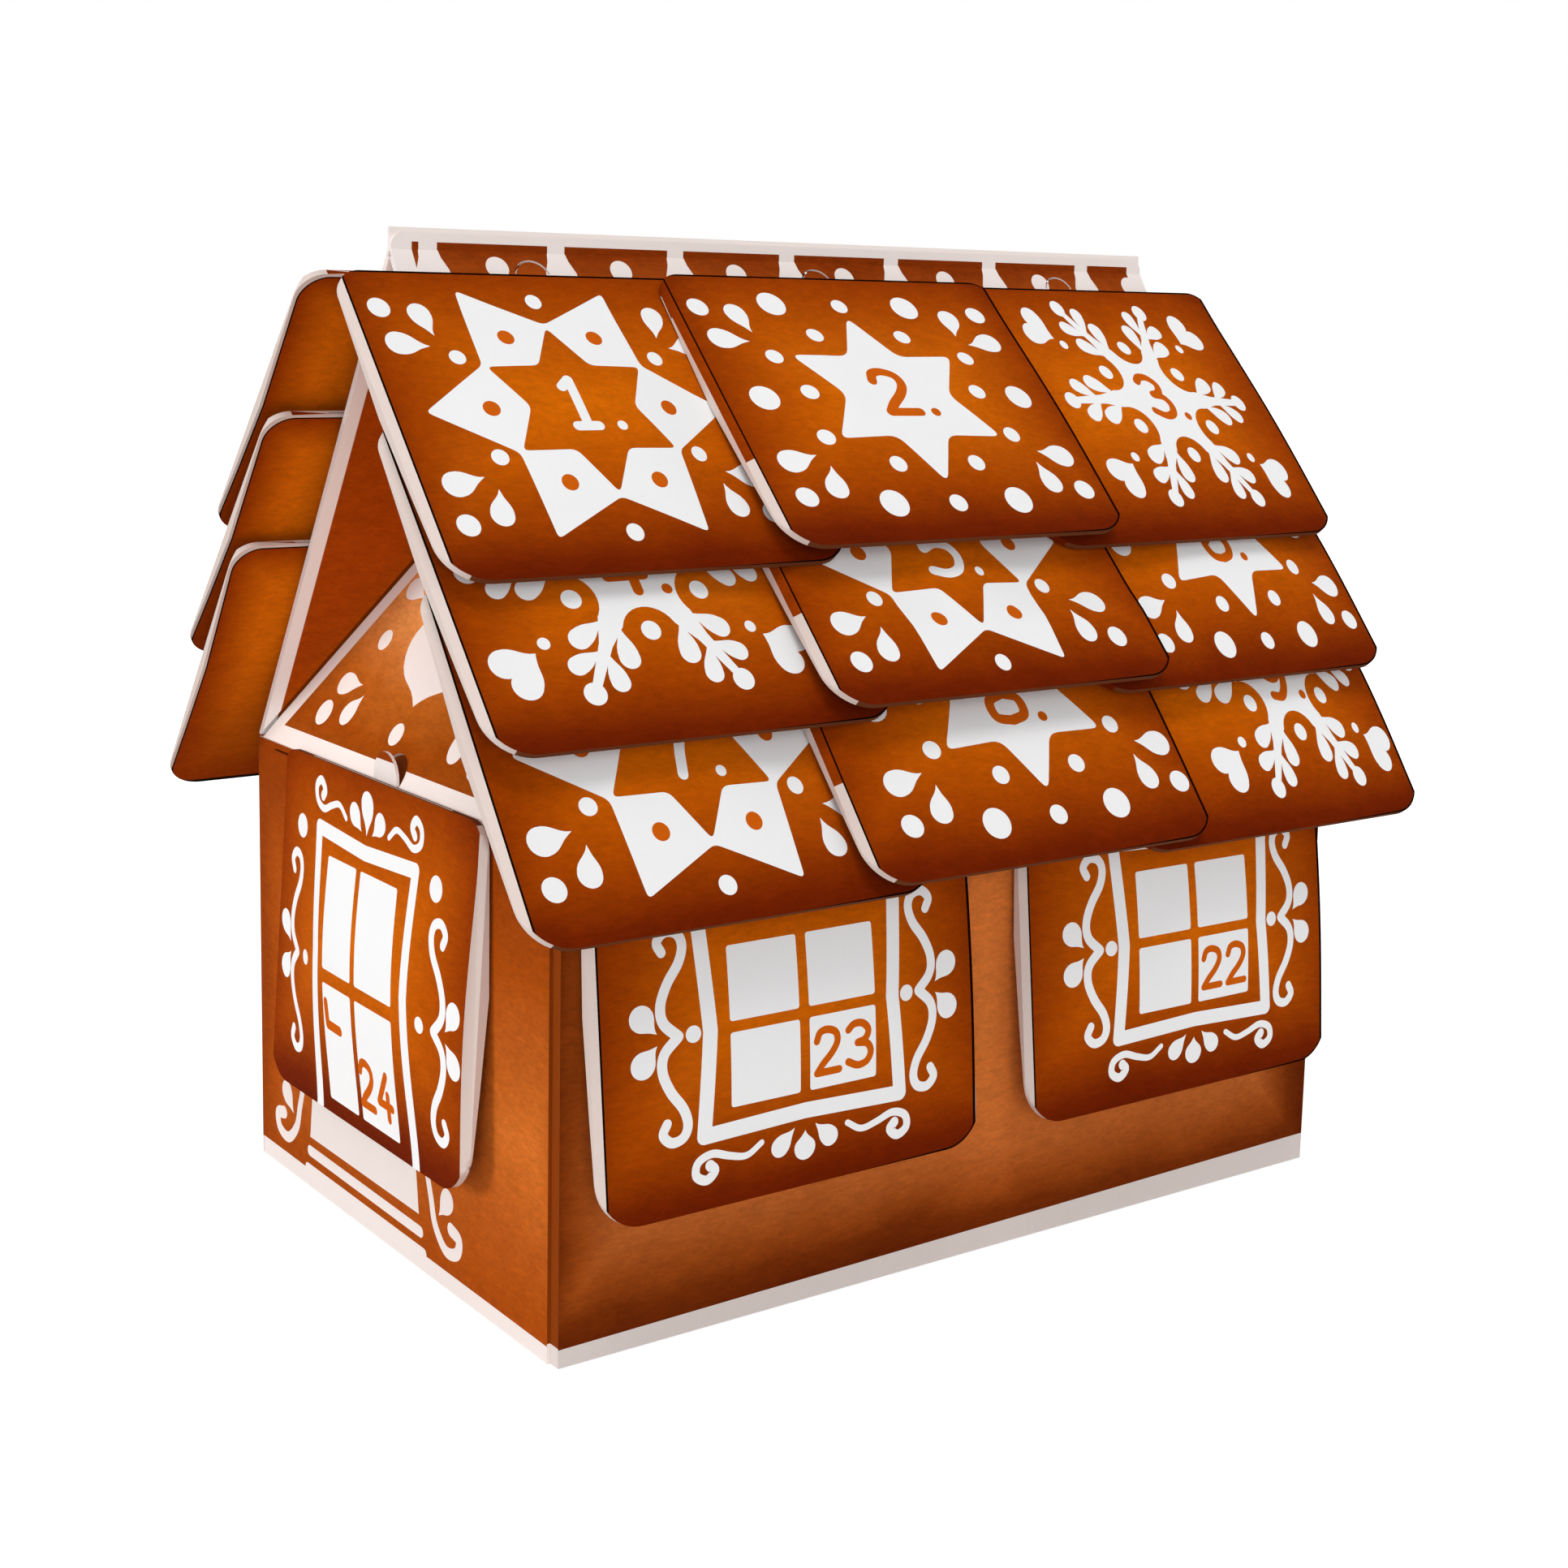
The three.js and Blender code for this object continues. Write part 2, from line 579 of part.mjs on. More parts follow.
function build() {
  const group = new THREE.Group();
  group.name = 'tea_advent_calendar';
  const roof = roofPoses();
  const halfSpacing = WINDOW_SPACING / 2;
  const windows = [-halfSpacing, halfSpacing].map(
    (across) => wallPose(frontWall, across, WINDOW_RISE, WINDOW_TILT));
  const door = wallPose(doorWall, DOOR_OFFSET, DOOR_RISE, DOOR_TILT);

  const place = (name, solid, material, turned) => {
    const geometry = toGeometry(solid);
    if (turned) {
      geometry.applyMatrix4(HALF_TURN);
    }
    group.add(mesh(name, geometry, material));
  };

  place('base_panel', basePanel(), gingerbread, false);
  place('dust_flap_door_end', dustFlap(), gingerbread, false);
  place('dust_flap_plain_end', dustFlap(), gingerbread, true);
  place('front_wall', longWall(windows, true), gingerbread, false);
  place('back_wall', longWall(windows, false), gingerbread, true);
  place('door_end_wall', endWall(door, SEAM_SETBACK), gingerbread, false);
  place('plain_end_wall', endWall(door, 0), gingerbread, true);
  place('door_end_gable', gableTriangle(door), gingerbread, false);
  place('plain_end_gable', gableTriangle(door), gingerbread, true);
  place('front_roof_panel', roofPanel(roof, FRONT_FIN_HEIGHT, FIN_CORNER), gingerbread, false);
  place('back_roof_panel', roofPanel(roof, BACK_FIN_HEIGHT, 0), gingerbread, true);

  const [leftWindow, rightWindow] = windows;
  const hung = [
    ...roof.map((pose) => ({ pose, turned: false })),
    ...roof.map((pose) => ({ pose, turned: true })),
    { pose: leftWindow, turned: true },
    { pose: rightWindow, turned: true },
    { pose: door, turned: true },
    { pose: rightWindow, turned: false },
    { pose: leftWindow, turned: false },
    { pose: door, turned: false },
  ];
  const pouch = pouchSolid().subtract(cavitySolid()).subtract(backSlotSolid());
  const bag = teaBagSolid();
  hung.forEach(({ pose, turned }, index) => {
    const number = String(index + 1).padStart(2, '0');
    const matrix = poseMatrix(pose);
    place(`envelope_${number}`, pouch.transform(matrix.elements), envelopePaper, turned);
    place(`tea_bag_${number}`, bag.transform(matrix.elements), teaPaper, turned);
  });
  return group;
}

export default build();
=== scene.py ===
"""Looks of the tea advent calendar: a gingerbread-house carton and its 24 printed tea envelopes."""

import json
import math

import bmesh
import bpy
from mathutils import Matrix, Vector
from mathutils.geometry import delaunay_2d_cdt

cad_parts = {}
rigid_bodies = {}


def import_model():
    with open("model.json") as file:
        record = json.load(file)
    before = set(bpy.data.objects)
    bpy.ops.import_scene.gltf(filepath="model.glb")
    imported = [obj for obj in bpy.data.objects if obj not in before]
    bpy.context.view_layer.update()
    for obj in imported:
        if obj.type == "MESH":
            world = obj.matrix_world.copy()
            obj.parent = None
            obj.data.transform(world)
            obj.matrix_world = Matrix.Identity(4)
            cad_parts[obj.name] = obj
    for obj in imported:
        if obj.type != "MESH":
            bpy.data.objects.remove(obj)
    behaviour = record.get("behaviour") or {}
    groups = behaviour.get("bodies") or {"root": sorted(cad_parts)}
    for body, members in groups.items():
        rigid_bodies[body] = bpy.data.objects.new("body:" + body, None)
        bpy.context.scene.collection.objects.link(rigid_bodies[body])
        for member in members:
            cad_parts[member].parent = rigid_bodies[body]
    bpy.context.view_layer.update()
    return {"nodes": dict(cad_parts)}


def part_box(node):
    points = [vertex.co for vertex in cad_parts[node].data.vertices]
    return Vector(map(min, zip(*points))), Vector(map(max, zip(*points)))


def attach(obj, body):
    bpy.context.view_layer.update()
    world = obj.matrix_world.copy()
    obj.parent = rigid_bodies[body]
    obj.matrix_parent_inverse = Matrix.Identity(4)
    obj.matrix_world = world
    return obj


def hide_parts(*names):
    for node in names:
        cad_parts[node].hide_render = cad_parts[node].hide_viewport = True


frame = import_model()

MM = 0.001

# Camera, fitted to the house in the photograph
CAMERA_PLACE = (-273.83, -373.98, 174.94)
CAMERA_YAW = 35.872
CAMERA_PITCH = 8.407
CAMERA_ROLL = 1.219
CAMERA_LENS = 53.43
CAMERA_SENSOR = 36.0
CAMERA_SHIFT_Y = -0.0869

# Lights
AMBIENT = 0.43
SIDE_SUN = 1.1
TOP_SUN = 0.9
FRONT_SUN = 1.3
FLOOR_TONE = 0.75
FLOOR_GLOW = 0.7
FLOOR_HALF = 6.0
FLOOR_GAP = 0.0002

# Envelope
FACE_WIDTH = 78.0
FACE_HEIGHT = 65.0
TOP_CORNER = 5.0
BOTTOM_CORNER = 8.0
# Widths of the painted shade line along the top, left and right of an envelope's face
TOP_LINE = 0.42
LEFT_LINE = 0.4
RIGHT_LINE = 0.6
SIDE_FLARE = 1.2
RIM_DEPTH = -1.25
GROUND_INSET = 0.35
GROUND_OVERRUN = 0.6
SWELL = 1.5
MORE_SWELL = {6: 2.0, 9: 2.6, 24: 2.2}
SWELL_START = 8.0
SWELL_END = 64.5
ROW_ABOVE_END = -44.0
LOW_NUMBER = -2.2
WINDOWS = (19, 20, 22, 23)
DOORS = (21, 24)
NESTED = (5, 14)
LEVEL_STEP = 2.5
COLUMN_STEP = 6.0

# Tea bag
BAG_SEAM = 0.14
BAG_STEPS = 16

# Where a print lies on its envelope in the photograph: shift right and up, width, lean and tilt
PRINT_PLACES = {
    1: (-3.4, 0.0, 0.96, -0.01, 0.0),
    2: (-0.3, -0.5, 1.04, -0.04, -0.015),
    3: (7.6, 0.3, 0.80, -0.07, -0.03),
    4: (-4.6, 0.7, 1.01, -0.01, 0.01),
    5: (-2.8, -1.8, 0.96, -0.055, 0.005),
    6: (7.2, -0.8, 0.845, -0.05, 0.02),
    7: (-2.9, -1.4, 0.985, -0.03, -0.015),
    8: (2.6, 0.0, 1.025, -0.04, 0.02),
    9: (11.5, -0.5, 0.82, -0.05, 0.0),
    22: (2.2, 1.6, 0.98, 0.01, -0.005),
    23: (0.9, 1.1, 1.01, 0.01, 0.0),
    24: (-0.6, 1.0, 0.98, -0.11, -0.005),
}

# House
WALL_HEIGHT = 87.0
HALF_LENGTH = 90.0
HALF_DEPTH = 59.5
RIDGE_HEIGHT = 183.0
ROOF_START = 0.6
GABLE_LENGTH = math.hypot(HALF_DEPTH, RIDGE_HEIGHT - WALL_HEIGHT)

# Icing on the house
BAND_LEVEL = -83.5
EAVE_BAND = 3.9
GABLE_BAND = 5.6
TONGUE_BAND = 4.8
TONGUE_PLACE = -2.5
RAKE_ICING = 86.0
UNDER_RAKE_ICING = 2.7
RIDGE_BROWN = 1.15
DRIPS = 7
DRIP_START = -82.9
DRIP_SPACING = 25.9
DRIP_NECK = 1.8
FOLD_OPENING = 0.75

# Inks: material numbers on an envelope, then those that a carton panel has in other places; on an envelope
# RIM and BOTTOM are painted shade
GROUND, ICING, CRUST, RIM, SIDE, BACK, BOTTOM = range(7)
INSIDE, EDGE = 2, 4

# The print map counts in tenths of a metre
MAP_UNIT = 100.0

# Browns of the boards by their depth inside the panel, in millimetres
DEEPEST = 30.0
# Long walls: the lighter tones of the middle are partly painted light against the shade of the roof and the
# envelopes
LONG_WALL_TONES = ((0, (84, 22, 1)), (7, (120, 48, 7)), (11, (158, 73, 20)), (18, (194, 102, 44)),
                   (30, (216, 118, 52)))
END_WALL_TONES = ((0, (150, 62, 6)), (6, (170, 76, 11)), (10, (180, 86, 24)), (15, (200, 103, 35)),
                  (20, (216, 116, 45)), (26, (224, 122, 48)))
# Gables: the lightest tones are partly painted light against the shade of the roof's overhang
GABLE_TONES = ((0, (160, 76, 16)), (3.4, (164, 74, 8)), (5.6, (180, 90, 22)), (8.5, (192, 100, 30)),
               (11.3, (210, 120, 52)), (14, (230, 144, 74)), (20, (246, 162, 90)))
ROOF_TONES = ((0, (132, 50, 6)), (8, (168, 76, 20)), (30, (168, 76, 20)))
UNDERSIDE_TONES = ((0, (166, 68, 4)), (30, (184, 82, 10)))


# Flat shapes, in millimetres


def dot(x, y, radius, ink=ICING, steps=24):
    """Round dot, of icing as a rule."""
    turns = [2 * math.pi * i / steps for i in range(steps)]
    return (ink, [(x + radius * math.cos(a), y + radius * math.sin(a)) for a in turns])


def bezier(a, b, c, d):
    """Points of a cubic curve from a to d, without the first."""
    points = []
    steps = 7
    for i in range(1, steps + 1):
        t = i / steps
        s = 1 - t
        weights = (s ** 3, 3 * s * s * t, 3 * s * t * t, t ** 3)
        points.append(tuple(sum(w * p[k] for w, p in zip(weights, (a, b, c, d))) for k in (0, 1)))
    return points


def drop(head, radius, tip):
    """Teardrop of icing with a round head and a pointed tip."""
    along = Vector(tip) - Vector(head)
    length = along.length
    along.normalize()
    side = Vector((-along.y, along.x))

    def at(forward, left):
        place = Vector(head) + along * forward + side * left
        return (place.x, place.y)

    steps = 12
    back = [math.pi / 2 + math.pi * i / steps for i in range(steps + 1)]
    points = [at(radius * math.cos(a), radius * math.sin(a)) for a in back]
    hip, waist = 0.5 * length, 0.55 * length
    points += bezier(at(0, -radius), at(hip, -radius), at(waist, -0.2 * radius), at(length, -0.1))
    points += bezier(at(length, 0.1), at(waist, 0.2 * radius), at(hip, radius), at(0, radius))
    return (ICING, points[:-1])


def rounded(points, radius):
    """The polygon with its corners rounded off."""
    result = []
    steps = 4
    count = len(points)
    for i, corner in enumerate(points):
        here = Vector(corner)
        before = Vector(points[i - 1]) - here
        after = Vector(points[(i + 1) % count]) - here
        start = here + before.normalized() * min(radius, 0.45 * before.length)
        end = here + after.normalized() * min(radius, 0.45 * after.length)
        for k in range(steps + 1):
            t = k / steps
            place = start * (1 - t) ** 2 + here * 2 * t * (1 - t) + end * t * t
            result.append((place.x, place.y))
    return result


def star(x, y, tip_radius, notch_radius, first_tip):
    """Six-pointed star, its first tip at that angle."""
    turns = [math.radians(first_tip + 30 * i) for i in range(12)]
    radii = [tip_radius, notch_radius] * 6
    return [(x + radius * math.cos(a), y + radius * math.sin(a)) for radius, a in zip(radii, turns)]


def smooth_path(points):
    """Points along a smooth curve through the given ones."""
    path = [Vector(p) for p in points]
    if len(path) < 3:
        return path
    steps = 6
    path = [2 * path[0] - path[1]] + path + [2 * path[-1] - path[-2]]
    result = []
    for i in range(1, len(path) - 2):
        a, b, c, d = path[i - 1:i + 3]
        for k in range(steps):
            t = k / steps
            result.append(0.5 * (2 * b + (c - a) * t + (2 * a - 5 * b + 4 * c - d) * t * t
                                 + (3 * b - a - 3 * c + d) * t ** 3))
    result.append(path[-2])
    return result


def round_end(centre, first):
    """Points of the half circle from first, clockwise round the centre."""
    steps = 6
    turns = [Matrix.Rotation(-math.pi * k / steps, 2) for k in range(1, steps)]
    return [centre + turn @ (first - centre) for turn in turns]


def ribbon(points, start_width, end_width=None):
    """Outline of a stroke with round ends along a smooth curve."""
    end_width = start_width if end_width is None else end_width
    path = smooth_path(points)
    last = len(path) - 1
    left, right = [], []
    for i, here in enumerate(path):
        ahead = (path[min(i + 1, last)] - path[max(i - 1, 0)]).normalized()
        side = Vector((-ahead.y, ahead.x)) * (start_width + (end_width - start_width) * i / last) / 2
        left.append(here + side)
        right.append(here - side)
    outline = left + round_end(path[-1], left[-1]) + right[::-1] + round_end(path[0], right[0])
    return [(p.x, p.y) for p in outline]


def mapped(shapes, place):
    """The shapes with every point put where place says."""
    return [(ink, [place(x, y) for x, y in outline]) for ink, outline in shapes]


def mirrored(shapes):
    """The shapes and their mirror images, left and right."""
    return shapes + mapped(shapes, lambda x, y: (-x, y))


def flipped(shapes, level):
    """The shapes and their mirror images, above and below a level."""
    return shapes + mapped(shapes, lambda x, y: (x, 2 * level - y))


def moved(shapes, dx):
    """The shapes moved sideways."""
    return mapped(shapes, lambda x, y: (dx + x, y))


def placed(shapes, dx, dy, width, lean, tilt):
    """The print shifted, narrowed, leaned and tilted about the middle of the envelope."""
    return mapped(shapes, lambda x, y: (dx + width * x + lean * (y - MIDDLE), dy + y + tilt * x))


def face_ground(lined):
    """Brown ground over the whole face or, when lined, inside a line of painted shade along top and sides.

    At the corners on the left the ground runs past the edge of the face.
    """
    base = [(-45, -70), (45, -70), (45, 5), (-45, 5)]
    if not lined:
        return [(GROUND, base)]
    left = -FACE_WIDTH / 2 + LEFT_LINE
    right = FACE_WIDTH / 2 - RIGHT_LINE
    high = -TOP_CORNER
    low = -FACE_HEIGHT + BOTTOM_CORNER
    corners = ((1, high, TOP_CORNER, 0), (-1, high, TOP_CORNER, 90),
               (-1, low, BOTTOM_CORNER, 180), (1, low, BOTTOM_CORNER, 270))
    ground = []
    for side, centre_y, radius, first in corners:
        centre_x = side * (FACE_WIDTH / 2 + SIDE_FLARE - radius)
        reach = radius - GROUND_INSET if side > 0 else radius + GROUND_OVERRUN
        for i in range(13):
            angle = math.radians(first + 90 * i / 12)
            x = centre_x + reach * math.cos(angle)
            y = centre_y + reach * math.sin(angle)
            ground.append((min(max(x, left), right), min(y, -TOP_LINE)))
    return [(RIM, base), (GROUND, ground)]


# Strokes of the digits, in hundredths of the width and height of a digit

GLYPHS = {
    "0": [[(50, 100), (12, 85), (0, 50), (12, 15), (50, 0)],
          [(50, 100), (88, 85), (100, 50), (88, 15), (50, 0)]],
    "1": [[(22, 84), (50, 100)], [(50, 100), (50, 0)], [(18, 0), (82, 0)]],
    "2": [[(4, 76), (18, 95), (50, 100), (86, 90), (93, 68), (70, 44), (30, 20), (4, 0)],
          [(4, 0), (100, 0)]],
    "3": [[(2, 88), (28, 100), (66, 98), (90, 80), (76, 60), (42, 54)],
          [(42, 54), (84, 48), (100, 27), (82, 6), (42, 0), (0, 12)]],
    "4": [[(66, 100), (0, 30)], [(0, 30), (100, 30)], [(70, 56), (70, 0)]],
    "5": [[(12, 100), (88, 100)], [(12, 100), (8, 58)],
          [(8, 58), (46, 66), (86, 56), (100, 32), (82, 7), (42, 0), (0, 10)]],
    "6": [[(88, 96), (48, 98), (12, 70), (0, 34), (14, 8), (50, 0)],
          [(50, 0), (86, 8), (100, 30), (86, 52), (50, 60), (8, 42)]],
    "7": [[(0, 100), (100, 100)], [(100, 100), (62, 52), (42, 0)]],
    "8": [[(50, 100), (14, 92), (12, 64), (50, 54)],
          [(50, 100), (86, 92), (88, 64), (50, 54)],
          [(50, 54), (4, 42), (4, 10), (50, 0)],
          [(50, 54), (96, 42), (96, 10), (50, 0)]],
    "9": [[(12, 4), (52, 2), (88, 30), (100, 66), (86, 92), (50, 100)],
          [(50, 100), (14, 92), (0, 70), (14, 48), (50, 40), (92, 58)]],
}
GLYPH_WIDTH = 0.56


def number(text, x, y, height, stroke, ink):
    """The digits of text round x, standing on y; a full stop follows on the base line."""
    width = GLYPH_WIDTH * height
    advance = width + 1.25 * stroke + 0.03 * height
    digits = [c for c in text if c != "."]
    left = x - (advance * (len(digits) - 1) + width) / 2
    across, up = width / 100, (height - stroke) / 100
    shapes = []
    for digit in digits:
        for path in GLYPHS[digit]:
            inner = [(left + px * across, y + stroke / 2 + py * up) for px, py in path]
            shapes.append((ink, ribbon(inner, stroke)))
        left += advance
    if text.endswith("."):
        shapes.append(dot(left + 0.35 * stroke, y + stroke / 2, 0.52 * stroke, ink, 14))
    return shapes


# Prints of the roof envelopes

MIDDLE = -31.0
NUMBER_BASE = -36.4
NUMBER_HEIGHT = 12.4
NUMBER_STROKE = 2.0


def corner_drops():
    """Two drops and a dot in each corner."""
    return mirrored([
        dot(31.9, -8.3, 2.15),
        drop((24.5, -9.5), 2.25, (23.4, -14.6)),
        drop((30.8, -16.1), 2.5, (25.0, -17.0)),
        dot(31.4, -54.2, 2.2),
        drop((30.7, -46.0), 2.6, (25.0, -45.0)),
        drop((24.4, -52.6), 2.25, (23.2, -47.5)),
    ])


def ray(degrees):
    """Turns a distance along a ray from the middle of the print, and one across it, into a place."""
    angle = math.radians(degrees)
    c, s = math.cos(angle), math.sin(angle)

    def at(along, across=0.0):
        return (c * along - s * across, MIDDLE + s * along + c * across)

    return at


def roof_number(text, base, ink):
    """Number in the middle of a roof envelope's print."""
    return number(text, -0.8, base, NUMBER_HEIGHT, NUMBER_STROKE, ink)


def tipped_star(text, base):
    """White star whose tips are kites, each with a brown dot, round a brown star."""
    shapes = corner_drops()
    shapes += [dot(0, -6.4, 1.65), dot(0, -57.3, 1.75)]
    shapes += mirrored([dot(20.7, -19.5, 1.6), dot(20.7, -41.2, 1.65)])
    shapes.append((ICING, rounded(star(0, MIDDLE, 31.0, 19.2, 0), 1.2)))
    shapes.append((GROUND, rounded(star(0, MIDDLE, 18.4, 10.8, 30), 1.3)))
    for i in range(6):
        shapes.append(dot(*ray(60 * i)(18.5), 1.65, CRUST))
    return shapes + roof_number(text, base, ICING)


def plain_star(text, base):
    """White star with dots round it."""
    shapes = corner_drops()
    shapes.append((ICING, rounded(star(0, MIDDLE, 21.0, 11.7, 90), 2.0)))
    dots = ((15.3, -6.9, 2.95), (28.8, -31.0, 2.9), (14.1, -56.4, 2.95), (10.0, -15.2, 1.75),
            (21.8, -20.9, 1.75), (19.0, -30.1, 1.8), (21.0, -41.0, 1.8), (8.9, -47.7, 1.8))
    for x, y, radius in dots:
        shapes += mirrored([dot(x, y, radius)])
    shapes += [dot(0, -7.0, 1.75), dot(0, -56.7, 1.9)]
    return shapes + roof_number(text, base, CRUST)


def heart():
    """Heart in a lower right corner, its point towards the middle of the envelope."""
    tip, upper, lower = (22.2, -47.5), (28.2, -48.7), (25.6, -53.0)
    return [drop(upper, 2.75, tip), drop(lower, 2.75, tip), (ICING, [tip, lower, upper])]


def snowflake(text, base):
    """White snowflake with bays between its arms, and a heart in each corner."""
    shapes = flipped(mirrored(heart() + [dot(20.2, -45.8, 1.15)]), MIDDLE)
    shapes.append(dot(0, MIDDLE, 12.6, steps=48))
    arms = [ray(60 * i) for i in range(6)]
    for at in arms:
        shapes.append((ICING, [at(8, -3.0), at(13, -2.5), at(19, -1.2), at(28.5, -0.8),
                               at(28.5, 0.8), at(19, 1.2), at(13, 2.5), at(8, 3.0)]))
    for i in range(6):
        between = ray(30 + 60 * i)
        shapes.append(dot(*between(15.2), 5.4, GROUND, 32))
        shapes.append(dot(*between(14.4), 1.85))
    for at in arms:
        shapes.append(dot(*at(28.8), 2.1))
        for side in (-1, 1):
            shapes.append(drop(at(24.8, 3.8 * side), 1.8, at(20.0, 0.2 * side)))
            shapes.append(drop(at(19.6, 4.5 * side), 2.0, at(14.0, 1.2 * side)))
    return shapes + roof_number(text, base, CRUST)


# Prints of the window and door envelopes


def side_scroll(centre, stretch):
    """Brace-shaped scroll with curled ends at the right of a window or door."""
    half = [(24.9, 0), (27.6, 2.6), (28.0, 5.6), (26.6, 9.0), (24.3, 12.2), (23.5, 15.0),
            (24.4, 17.0), (26.6, 17.5), (28.2, 16.0), (27.4, 14.2)]
    points = [(x, centre + stretch * y) for x, y in half]
    return flipped([(ICING, ribbon(points, 1.9, 1.7))], centre)


def side_ornament(centre, stretch, spread, out=0.0, dot_x=22.1):
    """Scroll, two drops and a dot on each side of a window or door."""
    shapes = side_scroll(centre, stretch)
    shapes += flipped([drop((31.6, centre + spread), 2.25, (28.9, centre + 0.9))], centre)
    return mirrored(moved(shapes, out) + [dot(dot_x, centre, 1.45)])


def flat_scroll(level, rise):
    """Scroll that runs outwards above or below a frame and ends in a curl."""
    half = [(9.0, 0.0), (12.0, 1.6), (15.4, 1.0), (18.8, 0.0), (21.6, 1.0), (22.0, 3.2),
            (20.0, 4.3), (18.4, 3.0), (19.3, 1.9)]
    points = [(x, level - rise * y) for x, y in half]
    return mirrored([(ICING, ribbon(points, 1.1, 1.9))])


def picture_frame(top, waist, bottom, bow):
    """Frame drawn in at its waist, its top and bottom bowed inwards."""
    corner, middle, width = 20.4, 18.9, 2.8
    left = [(-corner, top), (-middle, waist), (-corner, bottom)]
    right = [(-x, y) for x, y in left]
    bars = [left[:2], left[1:], right[:2], right[1:]]
    for level, mid in ((top, top - bow), (bottom, bottom + bow)):
        bars += [[(side * corner, level), (0, mid)] for side in (-1, 1)]
    return [(ICING, ribbon(bar, width)) for bar in bars]


def pane(x0, x1, y0, y1):
    """Pane of a window or panel of a door."""
    return (ICING, rounded([(x0, y0), (x1, y0), (x1, y1), (x0, y1)], 0.6))


def window(text):
    """Window of four panes with scrolls round it and its number in the last pane."""
    shapes = picture_frame(-16.6, -36.0, -53.6, 0.7)
    shapes += [pane(x, x + 14.1, y, y - 12.7) for x in (-15.1, 1.0) for y in (-22.3, -36.9)]
    shapes += side_ornament(-36.0, 1.0, 3.9)
    shapes += flat_scroll(-56.8, 1.0)
    shapes += mirrored([drop((5.2, -58.4), 1.8, (2.1, -55.6))])
    shapes.append(drop((0, -59.4), 2.2, (0, -56.4)))
    return shapes + number(text, 8.1, -47.6, 8.7, 1.35, CRUST)


def door(text):
    """Door with a handle; its frame runs off the bottom of the envelope."""
    shapes = picture_frame(-13.6, -36.0, -70.0, 1.0)
    for y, height in ((-18.0, 20.8), (-41.4, 21.8)):
        shapes += [pane(-15.2, -2.8, y, y - height), pane(-1.0, 14.2, y, y - height)]
    shapes += side_ornament(-39.2, 1.07, 4.4, 4.6, 24.8)
    shapes += flat_scroll(-10.0, -1.2)
    shapes += mirrored([drop((5.4, -8.4), 2.1, (2.3, -11.2)), dot(28.4, -15.0, 2.3)])
    shapes.append(drop((0, -5.9), 2.5, (0, -11.6)))
    shapes.append((CRUST, ribbon([(-13.9, -44.9), (-13.4, -48.8)], 1.9)))
    shapes.append((CRUST, ribbon([(-13.4, -48.9), (-8.2, -49.0)], 1.9)))
    return shapes + number(text, 5.7, -60.8, 9.4, 1.6, CRUST)


# Prints of the carton


def strip(half, low, high_left, high_right):
    """Band of icing whose upper edge may slope."""
    return (ICING, [(-half, low), (half, low), (half, high_right), (-half, high_left)])


def long_wall_print():
    """Icing along the foot."""
    return [strip(91, -88, -83.8, -81.6)]


def doorstep_print():
    """Foot of the door, steps and scrolls on an end wall."""
    centre = -12.9
    shapes = [(ICING, [(-22.0, -66.0), (22.0, -66.0), (23.4, -76.7), (-23.4, -76.7)])]
    shapes.append((ICING, ribbon([(-23.6, -79.6), (24.0, -79.9)], 2.2)))
    shapes.append((ICING, ribbon([(-24.8, -83.4), (25.4, -83.6)], 2.0)))
    curl = [(26.4, -67.0), (28.2, -72.0), (29.8, -76.6), (33.8, -80.0), (38.0, -79.2), (38.8, -76.4),
            (35.8, -75.4)]
    shapes += mirrored([(ICING, ribbon(curl, 1.8, 2.6)), drop((34.4, -70.6), 2.3, (31.2, -74.4))])
    seam = (RIM, [(57.3, -90), (57.48, -90), (57.48, 5), (57.3, 5)])
    bands = [strip(62, -88, -83.4, -84.0), strip(62, 0, TONGUE_BAND, TONGUE_BAND)]
    return moved(shapes, centre) + [seam] + bands


def gable_print():
    """Icing lines along the edges of a gable, dots, drops and a large heart."""
    shapes = [dot(31.0, 9.0, 2.7), drop((22.0, 10.2), 2.4, (19.4, 14.6)),
              drop((29.0, 15.7), 2.4, (22.0, 16.4)), dot(22.8, 26.2, 2.2),
              drop((22.6, 37.6), 2.3, (16.4, 36.2)), dot(12.0, 44.5, 1.8)]
    shapes = mirrored(shapes)
    shapes.append(dot(-0.6, 9.6, 2.3))
    shapes += mirrored([drop((6.4, 27.4), 6.6, (0.0, 15.4))])
    shapes.append((ICING, [(0.0, 15.4), (6.4, 27.4), (-6.4, 27.4)]))
    shapes += [dot(0, 52.0, 2.2), drop((0, 68.0), 3.0, (0, 78.0))]
    shapes = moved(shapes, -7.6)
    shapes.append(strip(70, -2, EAVE_BAND, EAVE_BAND))
    for side in (-1, 1):
        foot = side * HALF_DEPTH
        inner = side * (HALF_DEPTH - GABLE_BAND)
        tip = [(-side * GABLE_BAND, GABLE_LENGTH), (0, GABLE_LENGTH)]
        shapes.append((ICING, [(foot, -1), (inner, -1)] + tip))
    return shapes


def drip_places():
    """Where the icing of the ridge runs down, along the ridge."""
    return [DRIP_START + DRIP_SPACING * i for i in range(DRIPS)]


def roof_print():
    """Icing along the rakes, with drips and dots under the ridge."""
    shapes = []
    for side in (-1, 1):
        low = [(side * 86.8, -120), (side * 91, -120)]
        shapes.append((ICING, [(side * 91, 1), (side * RAKE_ICING, 1)] + low))
    half = [(DRIP_NECK, 0.5), (2.2, -1.6), (3.2, -4.0), (3.4, -7.0), (2.0, -9.6)]
    drip = half + [(0, -10.4)] + [(-x, y) for x, y in half[::-1]]
    for place in drip_places():
        shapes += moved([(ICING, drip), dot(DRIP_SPACING / 2, -3.3, 2.3)], place)
    return shapes


# Materials


